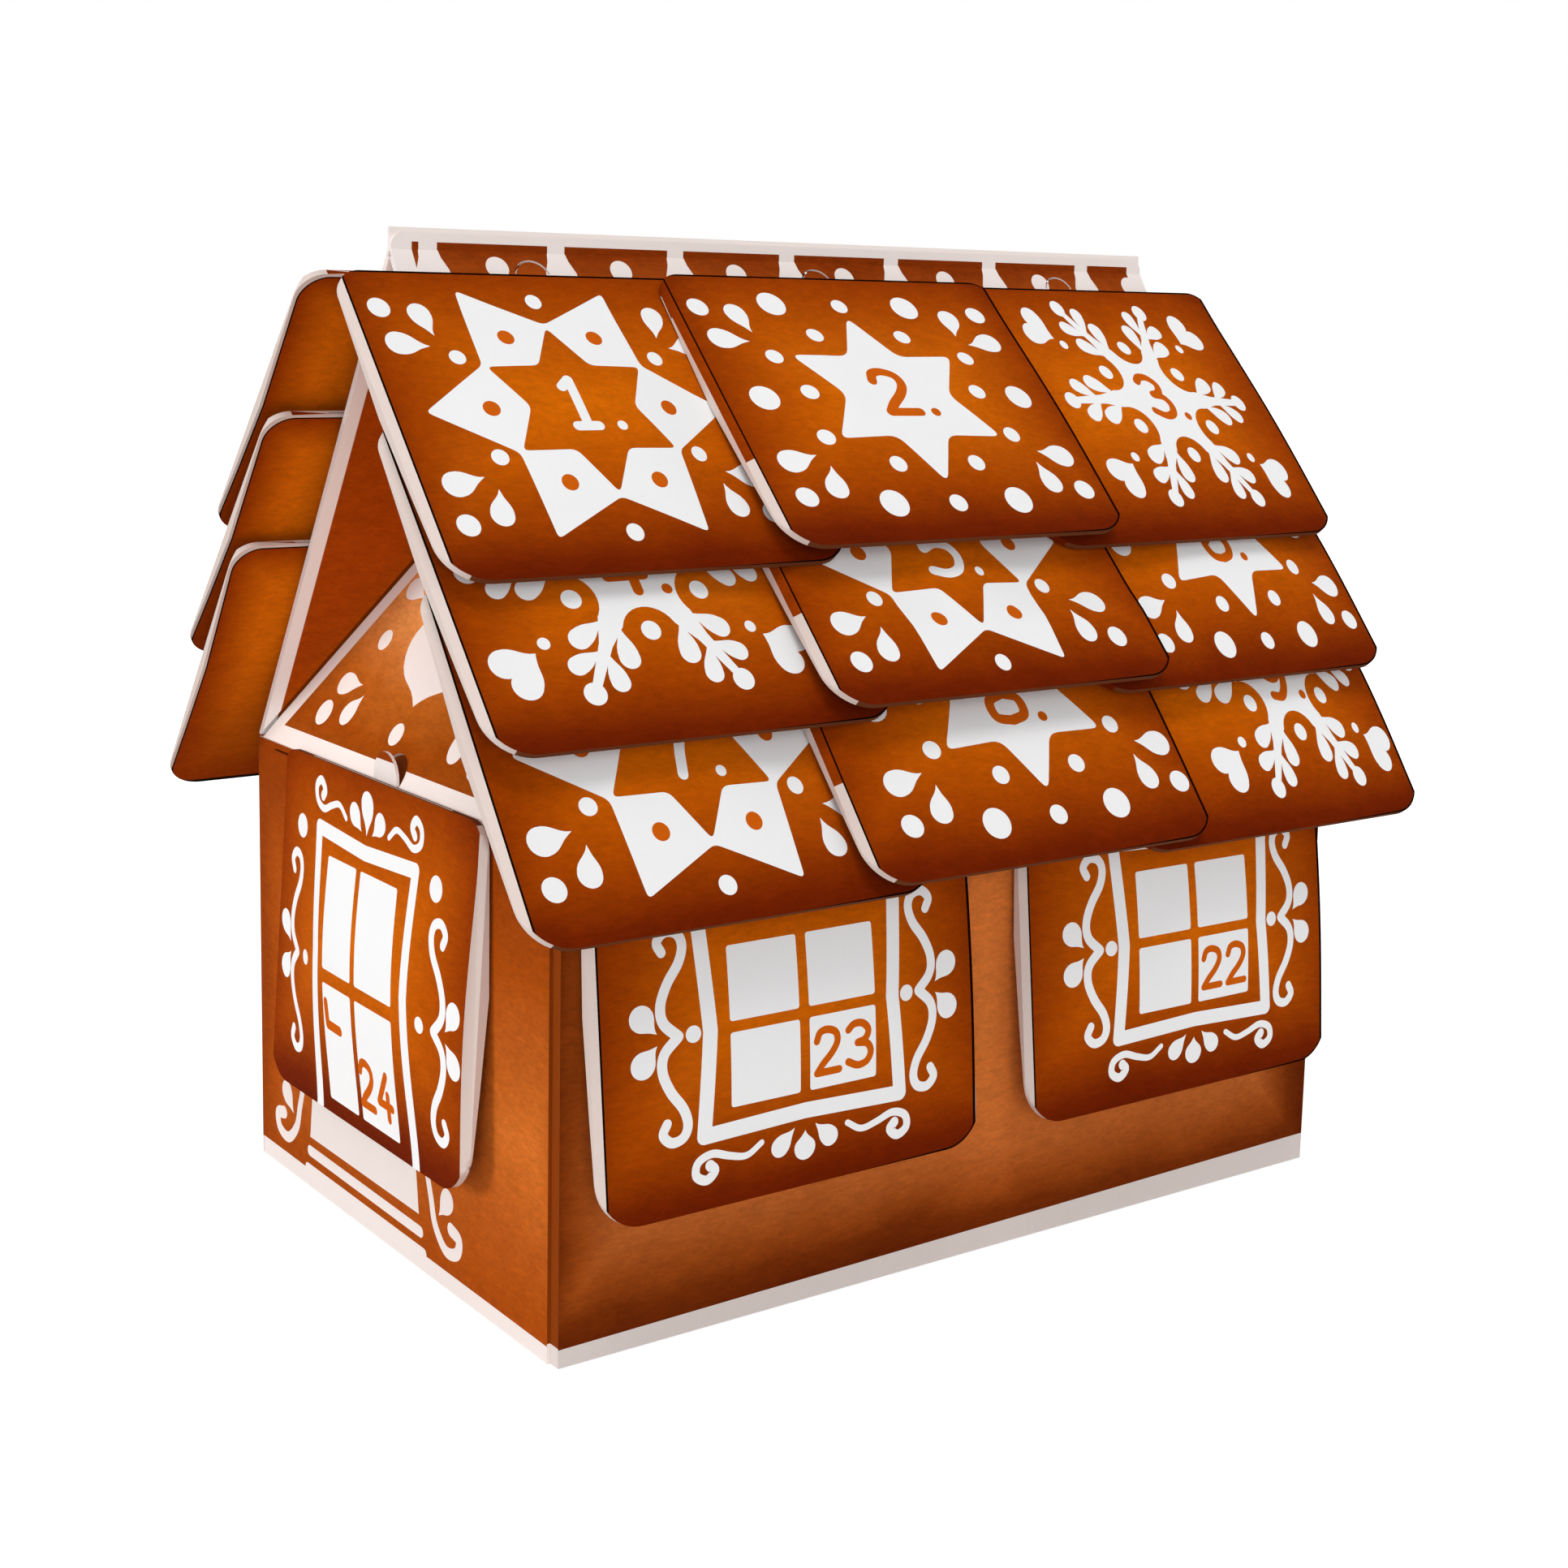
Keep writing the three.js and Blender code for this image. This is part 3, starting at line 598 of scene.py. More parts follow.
class Nodes:
    """Shorthand for wiring the nodes of a material or world."""

    def __init__(self, owner):
        owner.use_nodes = True
        self.owner = owner
        self.tree = owner.node_tree

    def add(self, kind, **settings):
        node = self.tree.nodes.new(kind)
        for name, value in settings.items():
            setattr(node, name, value)
        return node

    def feed(self, node, socket, value):
        """Links an output to the socket, or sets the socket to a number or colour."""
        if isinstance(value, bpy.types.NodeSocket):
            self.tree.links.new(value, node.inputs[socket])
        elif value is not None:
            node.inputs[socket].default_value = value

    def math(self, operation, a, b=None, c=None):
        node = self.add("ShaderNodeMath", operation=operation)
        for index, value in enumerate((a, b, c)):
            self.feed(node, index, value)
        return node.outputs[0]

    def noise(self, vector, scale, detail=4.0, roughness=0.6):
        node = self.add("ShaderNodeTexNoise")
        settings = {"Vector": vector, "Scale": scale, "Detail": detail, "Roughness": roughness}
        for socket, value in settings.items():
            self.feed(node, socket, value)
        return node.outputs["Fac"]

    def ramp(self, value, stops):
        node = self.add("ShaderNodeValToRGB")
        elements = node.color_ramp.elements
        while len(elements) < len(stops):
            elements.new(0.5)
        for element, (place, colour) in zip(elements, stops):
            element.position = place
            element.color = colour
        self.feed(node, 0, value)
        return node.outputs["Color"]

    def mix(self, factor, a, b):
        node = self.add("ShaderNodeMix", data_type="RGBA")
        for index, value in ((0, factor), (6, a), (7, b)):
            self.feed(node, index, value)
        return node.outputs[2]

    def rescale(self, value, low, high, to_low, to_high):
        node = self.add("ShaderNodeMapRange")
        for index, setting in enumerate((value, low, high, to_low, to_high)):
            self.feed(node, index, setting)
        return node.outputs[0]

    def split(self, vector):
        node = self.add("ShaderNodeSeparateXYZ")
        self.feed(node, 0, vector)
        return node.outputs

    def place(self):
        """Place on the object, in metres."""
        return self.add("ShaderNodeTexCoord").outputs["Object"]

    def print_place(self):
        """Place on the print, in millimetres to the right and up."""
        axes = self.split(self.add("ShaderNodeUVMap", uv_map="print").outputs["UV"])
        return tuple(self.math("MULTIPLY", axes[k], MAP_UNIT) for k in (0, 1))


def srgb(red, green, blue):
    """A colour given as it is seen, 0 to 255, as the renderer wants it."""

    def linear(value):
        value /= 255
        return value / 12.92 if value <= 0.04045 else ((value + 0.055) / 1.055) ** 2.4

    return (linear(red), linear(green), linear(blue), 1.0)


# Near-black painted shade for the rims and creases of the envelopes
RIM_SHADE = srgb(20, 8, 4)
FOLDED_PAPER = srgb(214, 198, 190)


def start_material(name, roughness=0.75, specular=0.02):
    """The nodes of a new material."""
    nodes = Nodes(bpy.data.materials.new(name))
    nodes.shader = nodes.tree.nodes["Principled BSDF"]
    nodes.feed(nodes.shader, "Roughness", roughness)
    nodes.feed(nodes.shader, "Specular IOR Level", specular)
    return nodes


def finish_material(nodes, colour, height=None, strength=1.0, distance=0.0):
    """The material in its colour, embossed where a height is given."""
    nodes.feed(nodes.shader, "Base Color", colour)
    if height is not None:
        bump = nodes.add("ShaderNodeBump")
        nodes.feed(bump, "Strength", strength)
        nodes.feed(bump, "Distance", distance)
        nodes.feed(bump, "Height", height)
        nodes.feed(nodes.shader, "Normal", bump.outputs["Normal"])
    return nodes.owner


def edge_distance(nodes, half_width, corner):
    """Distances in millimetres from the rounded edge of an envelope and from its bottom."""
    x, y = nodes.print_place()
    from_middle = nodes.math("ADD", y, FACE_HEIGHT / 2)
    px = nodes.math("SUBTRACT", nodes.math("ABSOLUTE", x), half_width - corner)
    py = nodes.math("SUBTRACT", nodes.math("ABSOLUTE", from_middle), FACE_HEIGHT / 2 - corner)
    squares = [nodes.math("POWER", nodes.math("MAXIMUM", p, 0.0), 2.0) for p in (px, py)]
    outside = nodes.math("SQRT", nodes.math("ADD", *squares))
    inside = nodes.math("MINIMUM", nodes.math("MAXIMUM", px, py), 0.0)
    reach = nodes.math("SUBTRACT", corner, nodes.math("ADD", outside, inside))
    above_bottom = nodes.math("ADD", y, FACE_HEIGHT)
    return reach, above_bottom


def mottle(nodes, colour, place, blotch, speck, amount):
    """Varies a colour by soft blotches and by specks."""
    soft = nodes.rescale(nodes.noise(place, blotch, 3.0), 0.3, 0.7, 1 - amount / 2, 1 + amount / 2)
    fine = nodes.rescale(nodes.noise(place, speck, 6.0, 0.75), 0.3, 0.7, 1 - amount, 1 + amount)
    shade = nodes.math("MULTIPLY", soft, fine)
    shaded = nodes.add("ShaderNodeVectorMath", operation="SCALE")
    if isinstance(colour, tuple):
        colour = colour[:3]
    nodes.feed(shaded, 0, colour)
    nodes.feed(shaded, "Scale", shade)
    return shaded.outputs[0]


def grain(nodes, colour, place, amount):
    """Leathery grain: short streaks over fine specks."""
    stretched = nodes.add("ShaderNodeMapping")
    stretched.inputs["Scale"].default_value = (0.45, 0.45, 1.3)
    stretched.inputs["Rotation"].default_value = (0.0, 0.5, 0.3)
    nodes.feed(stretched, "Vector", place)
    return mottle(nodes, colour, stretched.outputs[0], 520.0, 1300.0, amount)


def biscuit_print():
    """Printed gingerbread, baked darker towards the rim and darkest along the bottom."""
    nodes = start_material("printed_gingerbread")
    place = nodes.place()
    reach, above_bottom = edge_distance(nodes, FACE_WIDTH / 2, 14.0)
    wander = nodes.rescale(nodes.noise(place, 45.0, 2.0), 0.3, 0.7, -0.8, 0.8)
    low = nodes.math("MULTIPLY_ADD", above_bottom, 0.57, 0.8)
    around = nodes.math("MULTIPLY_ADD", reach, 0.5, 5.4)
    depth = nodes.math("ADD", nodes.math("MINIMUM", around, low), wander)
    colour = nodes.ramp(nodes.math("DIVIDE", depth, 20.0), [
        (0.0, srgb(96, 24, 0)), (0.12, srgb(112, 32, 0)), (0.36, srgb(156, 62, 0)),
        (0.62, srgb(182, 81, 1)), (1.0, srgb(210, 102, 2)),
    ])
    warm = nodes.rescale(nodes.noise(place, 30.0, 2.0), 0.54, 0.74, 0.0, 0.14)
    warm = nodes.math("MULTIPLY", warm, nodes.rescale(depth, 5.0, 16.0, 0.0, 1.0))
    colour = nodes.mix(warm, colour, srgb(214, 116, 36))
    colour = grain(nodes, colour, place, 0.15)
    return finish_material(nodes, colour, nodes.noise(place, 900.0, 6.0, 0.7), 0.25, 0.0003)


def dark_line():
    """Shadowed rim of an envelope."""
    nodes = start_material("dark_edge", 0.9, 0.0)
    return finish_material(nodes, mottle(nodes, RIM_SHADE, nodes.place(), 200.0, 900.0, 0.2))


def crust_print():
    """Brown of the numbers and of the dots on white."""
    nodes = start_material("printed_crust")
    return finish_material(nodes, mottle(nodes, srgb(204, 92, 10), nodes.place(), 160.0, 900.0, 0.06))


def paper(name, colour, amount):
    """Paper or icing in one tone, with faint fibres."""
    nodes = start_material(name)
    place = nodes.place()
    tone = mottle(nodes, colour, place, 120.0, 1400.0, amount)
    return finish_material(nodes, tone, nodes.noise(place, 1100.0, 5.0), 0.08, 0.0002)


def board_colour(nodes, place, depth, stops):
    """Brown that follows the depth inside a panel, with a leathery grain."""
    wander = nodes.rescale(nodes.noise(place, 40.0, 2.0), 0.3, 0.7, -1.5, 1.5)
    share = nodes.math("DIVIDE", nodes.math("ADD", depth, wander), DEEPEST)
    colour = nodes.ramp(share, [(step / DEEPEST, srgb(*tone)) for step, tone in stops])
    return grain(nodes, mottle(nodes, colour, place, 60.0, 260.0, 0.05), place, 0.17)


def board_print(name, depth_of, stops):
    """Printed board; depth_of gives the depth from the distances to the edges of the panel."""
    nodes = start_material(name)
    place = nodes.place()
    brown = board_colour(nodes, place, depth_of(nodes, *nodes.print_place()), stops)
    return finish_material(nodes, brown, nodes.noise(place, 700.0, 6.0, 0.7), 0.35, 0.0004)


def long_wall_depth(nodes, x, y):
    """Dark at the ends, most at the right one, and along the foot; the light middle is partly painted light
    that makes up for the shade of the roof and the envelopes.
    """
    beside = nodes.math("SUBTRACT", HALF_LENGTH + 4.5, nodes.math("ABSOLUTE", nodes.math("ADD", x, 2.0)))
    above_foot = nodes.math("MULTIPLY", nodes.math("ADD", y, WALL_HEIGHT), 0.9)
    return nodes.math("MINIMUM", beside, above_foot)


def end_wall_depth(nodes, x, y):
    """Dark at the corners of the house, most at the left one, and along the foot, with painted shade under
    the eave.
    """
    beside = nodes.math("SUBTRACT", HALF_DEPTH + 4.0, nodes.math("ABSOLUTE", nodes.math("SUBTRACT", x, 6.0)))
    above_foot = nodes.math("MULTIPLY_ADD", nodes.math("ADD", y, WALL_HEIGHT), 0.42, 2.5)
    # Painted shade under the eave
    below_eave = nodes.math("MULTIPLY_ADD", y, -0.4, -3.0)
    return nodes.math("MINIMUM", nodes.math("MINIMUM", beside, above_foot), below_eave)


def gable_depth(nodes, _, y):
    """Lighter towards the tip; the top of the ramp is partly painted light that makes up for the shade of
    the roof's overhang.
    """
    return nodes.math("MULTIPLY", y, 0.5)


def roof_depth(nodes, _, y):
    """Dark along the ridge."""
    return nodes.math("MULTIPLY", y, -1.0)


def envelope_back():
    """Back of an envelope: brown, darker towards the bottom, with a pale fold along the rim and a line of
    painted shade inside it.
    """
    nodes = start_material("envelope_back")
    place = nodes.place()
    reach, above_bottom = edge_distance(nodes, FACE_WIDTH / 2 + SIDE_FLARE, 6.0)
    folded = nodes.rescale(above_bottom, 5.0, 6.0, 0.0, 1.0)
    share = nodes.rescale(reach, 1.0, 9.0, 0.0, 1.0)
    share = nodes.math("MULTIPLY", share, nodes.rescale(above_bottom, 0.0, 42.0, 0.1, 1.0))
    colour = grain(nodes, nodes.mix(share, srgb(146, 54, 0), srgb(210, 104, 6)), place, 0.15)
    # Painted shade: a near-black line along the crease inside the fold
    colour = nodes.mix(nodes.rescale(reach, 0.85, 0.9, 1.0, 0.0), colour, RIM_SHADE)
    fold = nodes.math("MULTIPLY", nodes.rescale(reach, 0.55, 0.6, 1.0, 0.0), folded)
    colour = nodes.mix(fold, colour, FOLDED_PAPER)
    return finish_material(nodes, colour, nodes.noise(place, 900.0, 6.0, 0.7), 0.2, 0.0003)


def rake_underside():
    """Inside of a roof panel where it hangs over the gables: brown with an icing line along the rake, whiter
    than the carton's icing as painted light against the shade under the roof.
    """
    nodes = start_material("roof_underside")
    place = nodes.place()
    along_ridge = nodes.math("MULTIPLY", nodes.math("ABSOLUTE", nodes.split(place)[0]), 1 / MM)
    from_rake = nodes.math("SUBTRACT", HALF_LENGTH, along_ridge)
    brown = board_colour(nodes, place, from_rake, UNDERSIDE_TONES)
    icing = nodes.rescale(from_rake, UNDER_RAKE_ICING, UNDER_RAKE_ICING + 0.1, 1.0, 0.0)
    # The whiter icing here is painted light
    colour = nodes.mix(icing, brown, srgb(250, 242, 238))
    return finish_material(nodes, colour, nodes.noise(place, 700.0, 6.0, 0.7), 0.3, 0.0004)


# Pieces


def largest_face(cad, facing):
    """The largest face of the plane that has the most area among those that look a given way."""
    areas, largest = {}, {}
    for face in cad.polygons:
        if face.normal.dot(facing) <= 0.2:
            continue
        key = tuple(round(c, 2) for c in face.normal) + (round(face.normal.dot(face.center) / MM),)
        areas[key] = areas.get(key, 0.0) + face.area
        if key not in largest or face.area > largest[key].area:
            largest[key] = face
    return largest[max(areas, key=areas.get)]


class Plane:
    """Largest flat face of a node that looks a given way, in local millimetres: x right, y up, z out.

    Without a start, the origin is the middle of the face's top edge.
    """

    def __init__(self, node, facing, start=None):
        cad = frame["nodes"][node].data
        face = largest_face(cad, facing)
        self.out = face.normal.copy()
        level = face.center.dot(self.out)
        self.right = Vector((0, 0, 1)).cross(self.out).normalized()
        self.up = self.out.cross(self.right)
        start = self.top_middle(cad, level) if start is None else start
        self.origin = start + self.out * (level - start.dot(self.out))

    def top_middle(self, cad, level):
        """Middle of the top edge of the faces at the plane's level."""
        corners = [cad.vertices[i].co for f in cad.polygons for i in f.vertices
                   if f.normal.dot(self.out) > 0.999 and abs(f.center.dot(self.out) - level) < 0.02 * MM]
        across = [c.dot(self.right) for c in corners]
        return self.right * (min(across) + max(across)) / 2 + self.up * max(c.dot(self.up) for c in corners)

    def matrix(self):
        """From local millimetres to the row frame."""
        turn = Matrix((self.right, self.up, self.out)).transposed().to_4x4()
        return Matrix.Translation(self.origin) @ turn @ Matrix.Scale(MM, 4)


def is_front(face):
    """Whether a face of a local mesh lies on the printed side."""
    return all(abs(v.co.z) < 0.01 for v in face.verts)


def counterclockwise(outline):
    """The outline, turned to run counterclockwise."""
    area = sum(a[0] * b[1] - b[0] * a[1] for a, b in zip(outline, outline[1:] + outline[:1]))
    return outline if area > 0 else outline[::-1]


def local_mesh(node, plane, levels):
    """Copy of the CAD node in the plane's millimetres, cut across at the given levels."""
    mesh = bmesh.new()
    mesh.from_mesh(frame["nodes"][node].data)
    bmesh.ops.remove_doubles(mesh, verts=mesh.verts, dist=1e-6)
    bmesh.ops.transform(mesh, matrix=plane.matrix().inverted(), verts=mesh.verts)
    for level in levels:
        geometry = mesh.verts[:] + mesh.edges[:] + mesh.faces[:]
        bmesh.ops.bisect_plane(mesh, geom=geometry, plane_co=(0, level, 0), plane_no=(0, 1, 0), dist=1e-4)
    return mesh


class Points:
    """Points in the plane, each kept once under its number."""

    def __init__(self):
        self.places, self.numbers = [], {}

    def number(self, x, y):
        key = (round(x, 4), round(y, 4))
        if key not in self.numbers:
            self.numbers[key] = len(self.places)
            self.places.append(Vector((x, y)))
        return self.numbers[key]


def print_face(mesh, shapes, loose_points):
    """Replaces the face at z = 0 by triangles that follow the printed shapes, each in its ink."""
    mesh.normal_update()
    plain = [f for f in mesh.faces if f.normal.z > 0.99 and is_front(f)]
    points = Points()
    loops = [[points.number(v.co.x, v.co.y) for v in f.verts] for f in plain]
    inks = [GROUND] * len(plain)
    for ink, outline in shapes:
        loops.append([points.number(x, y) for x, y in counterclockwise(outline)])
        inks.append(ink)
    for x, y in loose_points:
        points.number(x, y)
    bmesh.ops.delete(mesh, geom=plain, context="FACES_ONLY")
    places, _, faces, _, _, sources = delaunay_2d_cdt(points.places, [], loops, 1, 1e-4, True)
    borders = {(round(v.co.x, 3), round(v.co.y, 3)): v for v in mesh.verts if abs(v.co.z) < 0.01}
    verts = [borders.get((round(p.x, 3), round(p.y, 3))) or mesh.verts.new((p.x, p.y, 0.0)) for p in places]
    for face, source in zip(faces, sources):
        corners = [verts[i] for i in face]
        on_face = min(source, default=len(plain)) < len(plain)
        if on_face and len(set(corners)) == 3 and not mesh.faces.get(corners):
            mesh.faces.new(corners).material_index = inks[max(source)]


def crease(mesh, slot):
    """Smooth shading with sharp folds; the folded sides of an envelope stay soft."""
    for edge in mesh.edges:
        folded = all(f.material_index == SIDE for f in edge.link_faces) and slot == "envelope_paper"
        sharpest = math.radians(75 if folded else 24)
        edge.smooth = len(edge.link_faces) == 2 and edge.calc_face_angle(0.0) < sharpest


def add_object(name, data):
    """A new object in the scene."""
    thing = bpy.data.objects.new(name, data)
    bpy.context.scene.collection.objects.link(thing)
    return thing


def finish_piece(mesh, name, plane, node, slot, materials):
    """Turns the local mesh into an object that replaces the node."""
    layer = mesh.loops.layers.uv.new("print")
    for face in mesh.faces:
        face.smooth = True
        for loop in face.loops:
            loop[layer].uv = (loop.vert.co.x / MAP_UNIT, loop.vert.co.y / MAP_UNIT)
    mesh.normal_update()
    crease(mesh, slot)
    loose = [v for v in mesh.verts if not v.link_faces]
    bmesh.ops.delete(mesh, geom=loose, context="VERTS")
    bmesh.ops.transform(mesh, matrix=plane.matrix(), verts=mesh.verts)
    data = bpy.data.meshes.new(name)
    mesh.to_mesh(data)
    mesh.free()
    for material in materials:
        data.materials.append(material)
    piece = add_object(name, data)
    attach(piece, frame["nodes"][node].parent.name.removeprefix("body:"))
    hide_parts(node)


def ease(value, start, end):
    """0 at start, 1 at end, smooth between."""
    share = min(max((value - start) / (end - start), 0.0), 1.0)
    return share * share * (3 - 2 * share)


def swell(x, y, column, day):
    """How far the filled envelope's face stands out; sides and corners under a neighbour stay flat."""
    share = (-y - SWELL_START) / (SWELL_END - SWELL_START)
    if not 0 < share < 1:
        return 0.0
    rise = MORE_SWELL.get(day, SWELL) * math.sin(math.pi * share) ** 1.3
    from_left = ease(x, -22.0, 2.0) if column == "right" else ease(x, -39.0, -10.0)
    from_right = ease(x, 24.0, 4.0) if column == "left" else 1 - 0.55 * ease(x, 18.0, 39.0)
    if day in NESTED:
        free = ease(y, ROW_ABOVE_END, ROW_ABOVE_END - 8.0)
        from_left = max(from_left * free, ease(x, -19.0, 3.0))
        from_right = max(from_right * free, ease(x, 19.0, -3.0))
    return rise * from_left * from_right


def make_envelope(day, shapes, column, materials):
    """An envelope with its print, its swollen face, its folded sides and its back."""
    node = f"envelope_{day:02d}"
    plane = envelope_plane(node)
    levels = [-LEVEL_STEP * i for i in range(1, int(FACE_HEIGHT / LEVEL_STEP))]
    columns = int(FACE_WIDTH / 2 / COLUMN_STEP)
    grid = [(COLUMN_STEP * c, level) for c in range(-columns, columns + 1) for level in levels]
    mesh = local_mesh(node, plane, levels)
    if day in PRINT_PLACES:
        shapes = placed(shapes, *PRINT_PLACES[day])
    print_face(mesh, face_ground(day not in DOORS) + shapes, grid)
    mesh.normal_update()
    front = set()
    for face in mesh.faces:
        if is_front(face):
            front.update(face.verts)
        else:
            face.material_index = side_ink(face, column)
    for vert in front:
        vert.co.z += swell(vert.co.x, vert.co.y, column, day)
    finish_piece(mesh, f"tea_{node}", plane, node, "envelope_paper", materials)


def side_ink(face, column):
    """Pale folded sides, dark brown as painted shade where they lie on a neighbour; dark brown of painted
    shade on the bottom edge and on the top edge of a wall envelope; brown back.
    """
    centre = face.calc_center_median()
    outward = Vector((face.normal.x, face.normal.y))
    beside = max(abs(v.co.x) for v in face.verts) > FACE_WIDTH / 2 - 9
    at_bottom = centre.y < -FACE_HEIGHT + 1.5
    flat = abs(face.normal.z) > 0.9 or outward.length < 0.05
    if flat or centre.z < RIM_DEPTH or not (beside or at_bottom):
        return BACK
    outward.normalize()
    # Edges that face down, and the top edges of wall envelopes, get the dark brown of painted shade
    if outward.y < -0.85 or (outward.y > 0.85 and column == "wall"):
        return BOTTOM
    # Sides that lie on a neighbour get the dark brown of the gingerbread's rim as painted shade
    pressed = column == "right" or (column == "middle" and centre.y > ROW_ABOVE_END)
    return GROUND if outward.x < 0 and pressed else SIDE


def envelope_plane(node):
    """Plane of an envelope's printed face, found by the side of the house that it hangs on."""
    low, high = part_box(node)
    centre = (low + high) / 2
    if abs(centre.x) > HALF_LENGTH * MM:
        return Plane(node, Vector((math.copysign(1, centre.x), 0, 0)))
    return Plane(node, Vector((0, math.copysign(1, centre.y), 0.3)).normalized())


def make_panel(node, facing, start, shapes, materials):
    """A carton panel with its outer print, its cut edges and its inside."""
    plane = Plane(node, Vector(facing), Vector(start) * MM)
    roof = start[2] == RIDGE_HEIGHT
    mesh = local_mesh(node, plane, [] if roof else [BAND_LEVEL])
    print_face(mesh, shapes, [])
    mesh.normal_update()
    if roof:
        cut_fin(mesh)
    for face in mesh.faces:
        if not is_front(face):
            face.material_index = board_ink(face, roof)
    if "gable" in node:
        close_fold(mesh)
        line_hole(mesh)
    finish_piece(mesh, f"printed_{node}", plane, node, "carton_board", materials)


def board_ink(face, roof):
    """Ink of a face of the board outside its printed side."""
    centre = face.calc_center_median()
    if roof and -0.05 < centre.y < RIDGE_BROWN and face.normal.z > -0.5:
        iced = min(abs(centre.x - place) for place in drip_places()) < DRIP_NECK
        return ICING if iced or abs(centre.x) > RAKE_ICING else GROUND
    if centre.y > 0.05 or not (roof or BAND_LEVEL < centre.y < -0.05):
        return ICING
    if face.normal.z < -0.7:
        return INSIDE
    return ICING if roof else EDGE


def close_fold(mesh):
    """Brings the outer lower edge of a gable down to the eave, over the gap of the fold."""
    for vert in mesh.verts:
        if 0.8 < vert.co.y < 1.0 and vert.co.z > -0.01:
            vert.co.y -= FOLD_OPENING


def cut_fin(mesh):
    """Cuts the lower part of the ridge fin where the icing runs over it."""
    cuts = [((0, RIDGE_BROWN, 0), (0, 1, 0))]
    sides = [place + side * DRIP_NECK for place in drip_places() for side in (-1, 1)]
    cuts += [((x, 0, 0), (1, 0, 0)) for x in sides + [-RAKE_ICING, RAKE_ICING]]
    for place, across in cuts:
        faces = [f for f in mesh.faces if f.normal.z > 0.3 and f.calc_center_median().y > 0.05]
        edges = {e for f in faces for e in f.edges}
        verts = {v for f in faces for v in f.verts}
        geometry = [*verts, *edges, *faces]
        bmesh.ops.bisect_plane(mesh, geom=geometry, plane_co=place, plane_no=across, dist=1e-4)
        mesh.normal_update()


def line_hole(mesh):
    """A rounded brown sheet behind the hole that the tongue leaves in a gable: painted shade that stands for
    the dark seen through the hole.
    """
    half, foot, shoulder = 5.6, 1.0, 2.0
    turns = [math.pi * i / 12 for i in range(13)]
    outline = [(-half, foot), (half, foot)]
    outline += [(half * math.cos(a), shoulder + half * math.sin(a)) for a in turns]
    layers = []
    for depth in (-0.65, -0.95):
        layers.append([mesh.verts.new((TONGUE_PLACE + x, y, depth)) for x, y in outline])
    mesh.faces.new(layers[0]).material_index = RIM
    mesh.faces.new(layers[1][::-1]).material_index = INSIDE
    for i in range(len(outline)):
        side = [layers[0][i - 1], layers[1][i - 1], layers[1][i], layers[0][i]]
        mesh.faces.new(side).material_index = EDGE


def build_envelopes():
    """Three kinds of print take turns on the slopes; the walls have windows and doors."""
    # The dark rim line and the dark brown edge paper in this list are painted shade
    inks = [biscuit_print(), paper("printed_icing", srgb(243, 243, 243), 0.01), crust_print(), dark_line(),
            paper("envelope_side", FOLDED_PAPER, 0.02), envelope_back(),
            paper("envelope_bottom", srgb(104, 58, 34), 0.05)]
    kinds = [tipped_star, plain_star, snowflake,
             snowflake, tipped_star, plain_star,
             tipped_star, plain_star, snowflake]
    columns = ("left", "middle", "right")
    for day in range(1, 19):
        base = NUMBER_BASE + (LOW_NUMBER if 4 <= day <= 9 else 0.0)
        place = (day - 1) % len(kinds)
        make_envelope(day, kinds[place](f"{day}.", base), columns[place % len(columns)], inks)
    for day in WINDOWS:
        make_envelope(day, window(str(day)), "wall", inks)
    for day in DOORS:
        make_envelope(day, door(str(day)), "wall", inks)


def build_carton():
    """Walls, gables and roof panels with their prints, and the plain flaps of the base."""
    icing = paper("carton_icing", srgb(240, 229, 224), 0.015)
    # Icing of the long walls, greyer than the carton's icing: painted shade
    shaded_long_icing = paper("long_wall_icing", srgb(222, 211, 206), 0.015)
    # Icing of the gables, whiter than the carton's icing: painted light against the shade of the roof's
    # overhang
    gable_icing = paper("gable_icing", srgb(254, 244, 238), 0.015)
    inside = paper("board_inside", srgb(206, 196, 184), 0.03)
    lines = [paper("seam_line", srgb(120, 56, 18), 0.05), paper("board_edge", srgb(136, 60, 12), 0.05)]
    rest = [inside, *lines]
    long_inks = [board_print("board_long_wall", long_wall_depth, LONG_WALL_TONES), shaded_long_icing, *rest]
    end_inks = [board_print("board_end_wall", end_wall_depth, END_WALL_TONES), icing, *rest]
    gable_inks = [board_print("board_gable", gable_depth, GABLE_TONES), gable_icing, *rest]
    roof_inks = [board_print("board_roof", roof_depth, ROOF_TONES), icing, rake_underside(), *lines]
    for side, long_name, end_name in ((-1, "front", "door_end"), (1, "back", "plain_end")):
        long_eave = (0, side * HALF_DEPTH, WALL_HEIGHT)
        end_eave = (side * HALF_LENGTH, 0, WALL_HEIGHT)
        ridge = (0, side * ROOF_START, RIDGE_HEIGHT)
        make_panel(f"{long_name}_wall", (0, side, 0), long_eave, long_wall_print(), long_inks)
        make_panel(f"{end_name}_wall", (side, 0, 0), end_eave, doorstep_print(), end_inks)
        make_panel(f"{end_name}_gable", (0.85 * side, 0, 0.5), end_eave, gable_print(), gable_inks)
        make_panel(f"{long_name}_roof_panel", (0, 0.85 * side, 0.5), ridge, roof_print(), roof_inks)
    for node in ("base_panel", "dust_flap_door_end", "dust_flap_plain_end"):
        give_material(node, inside)


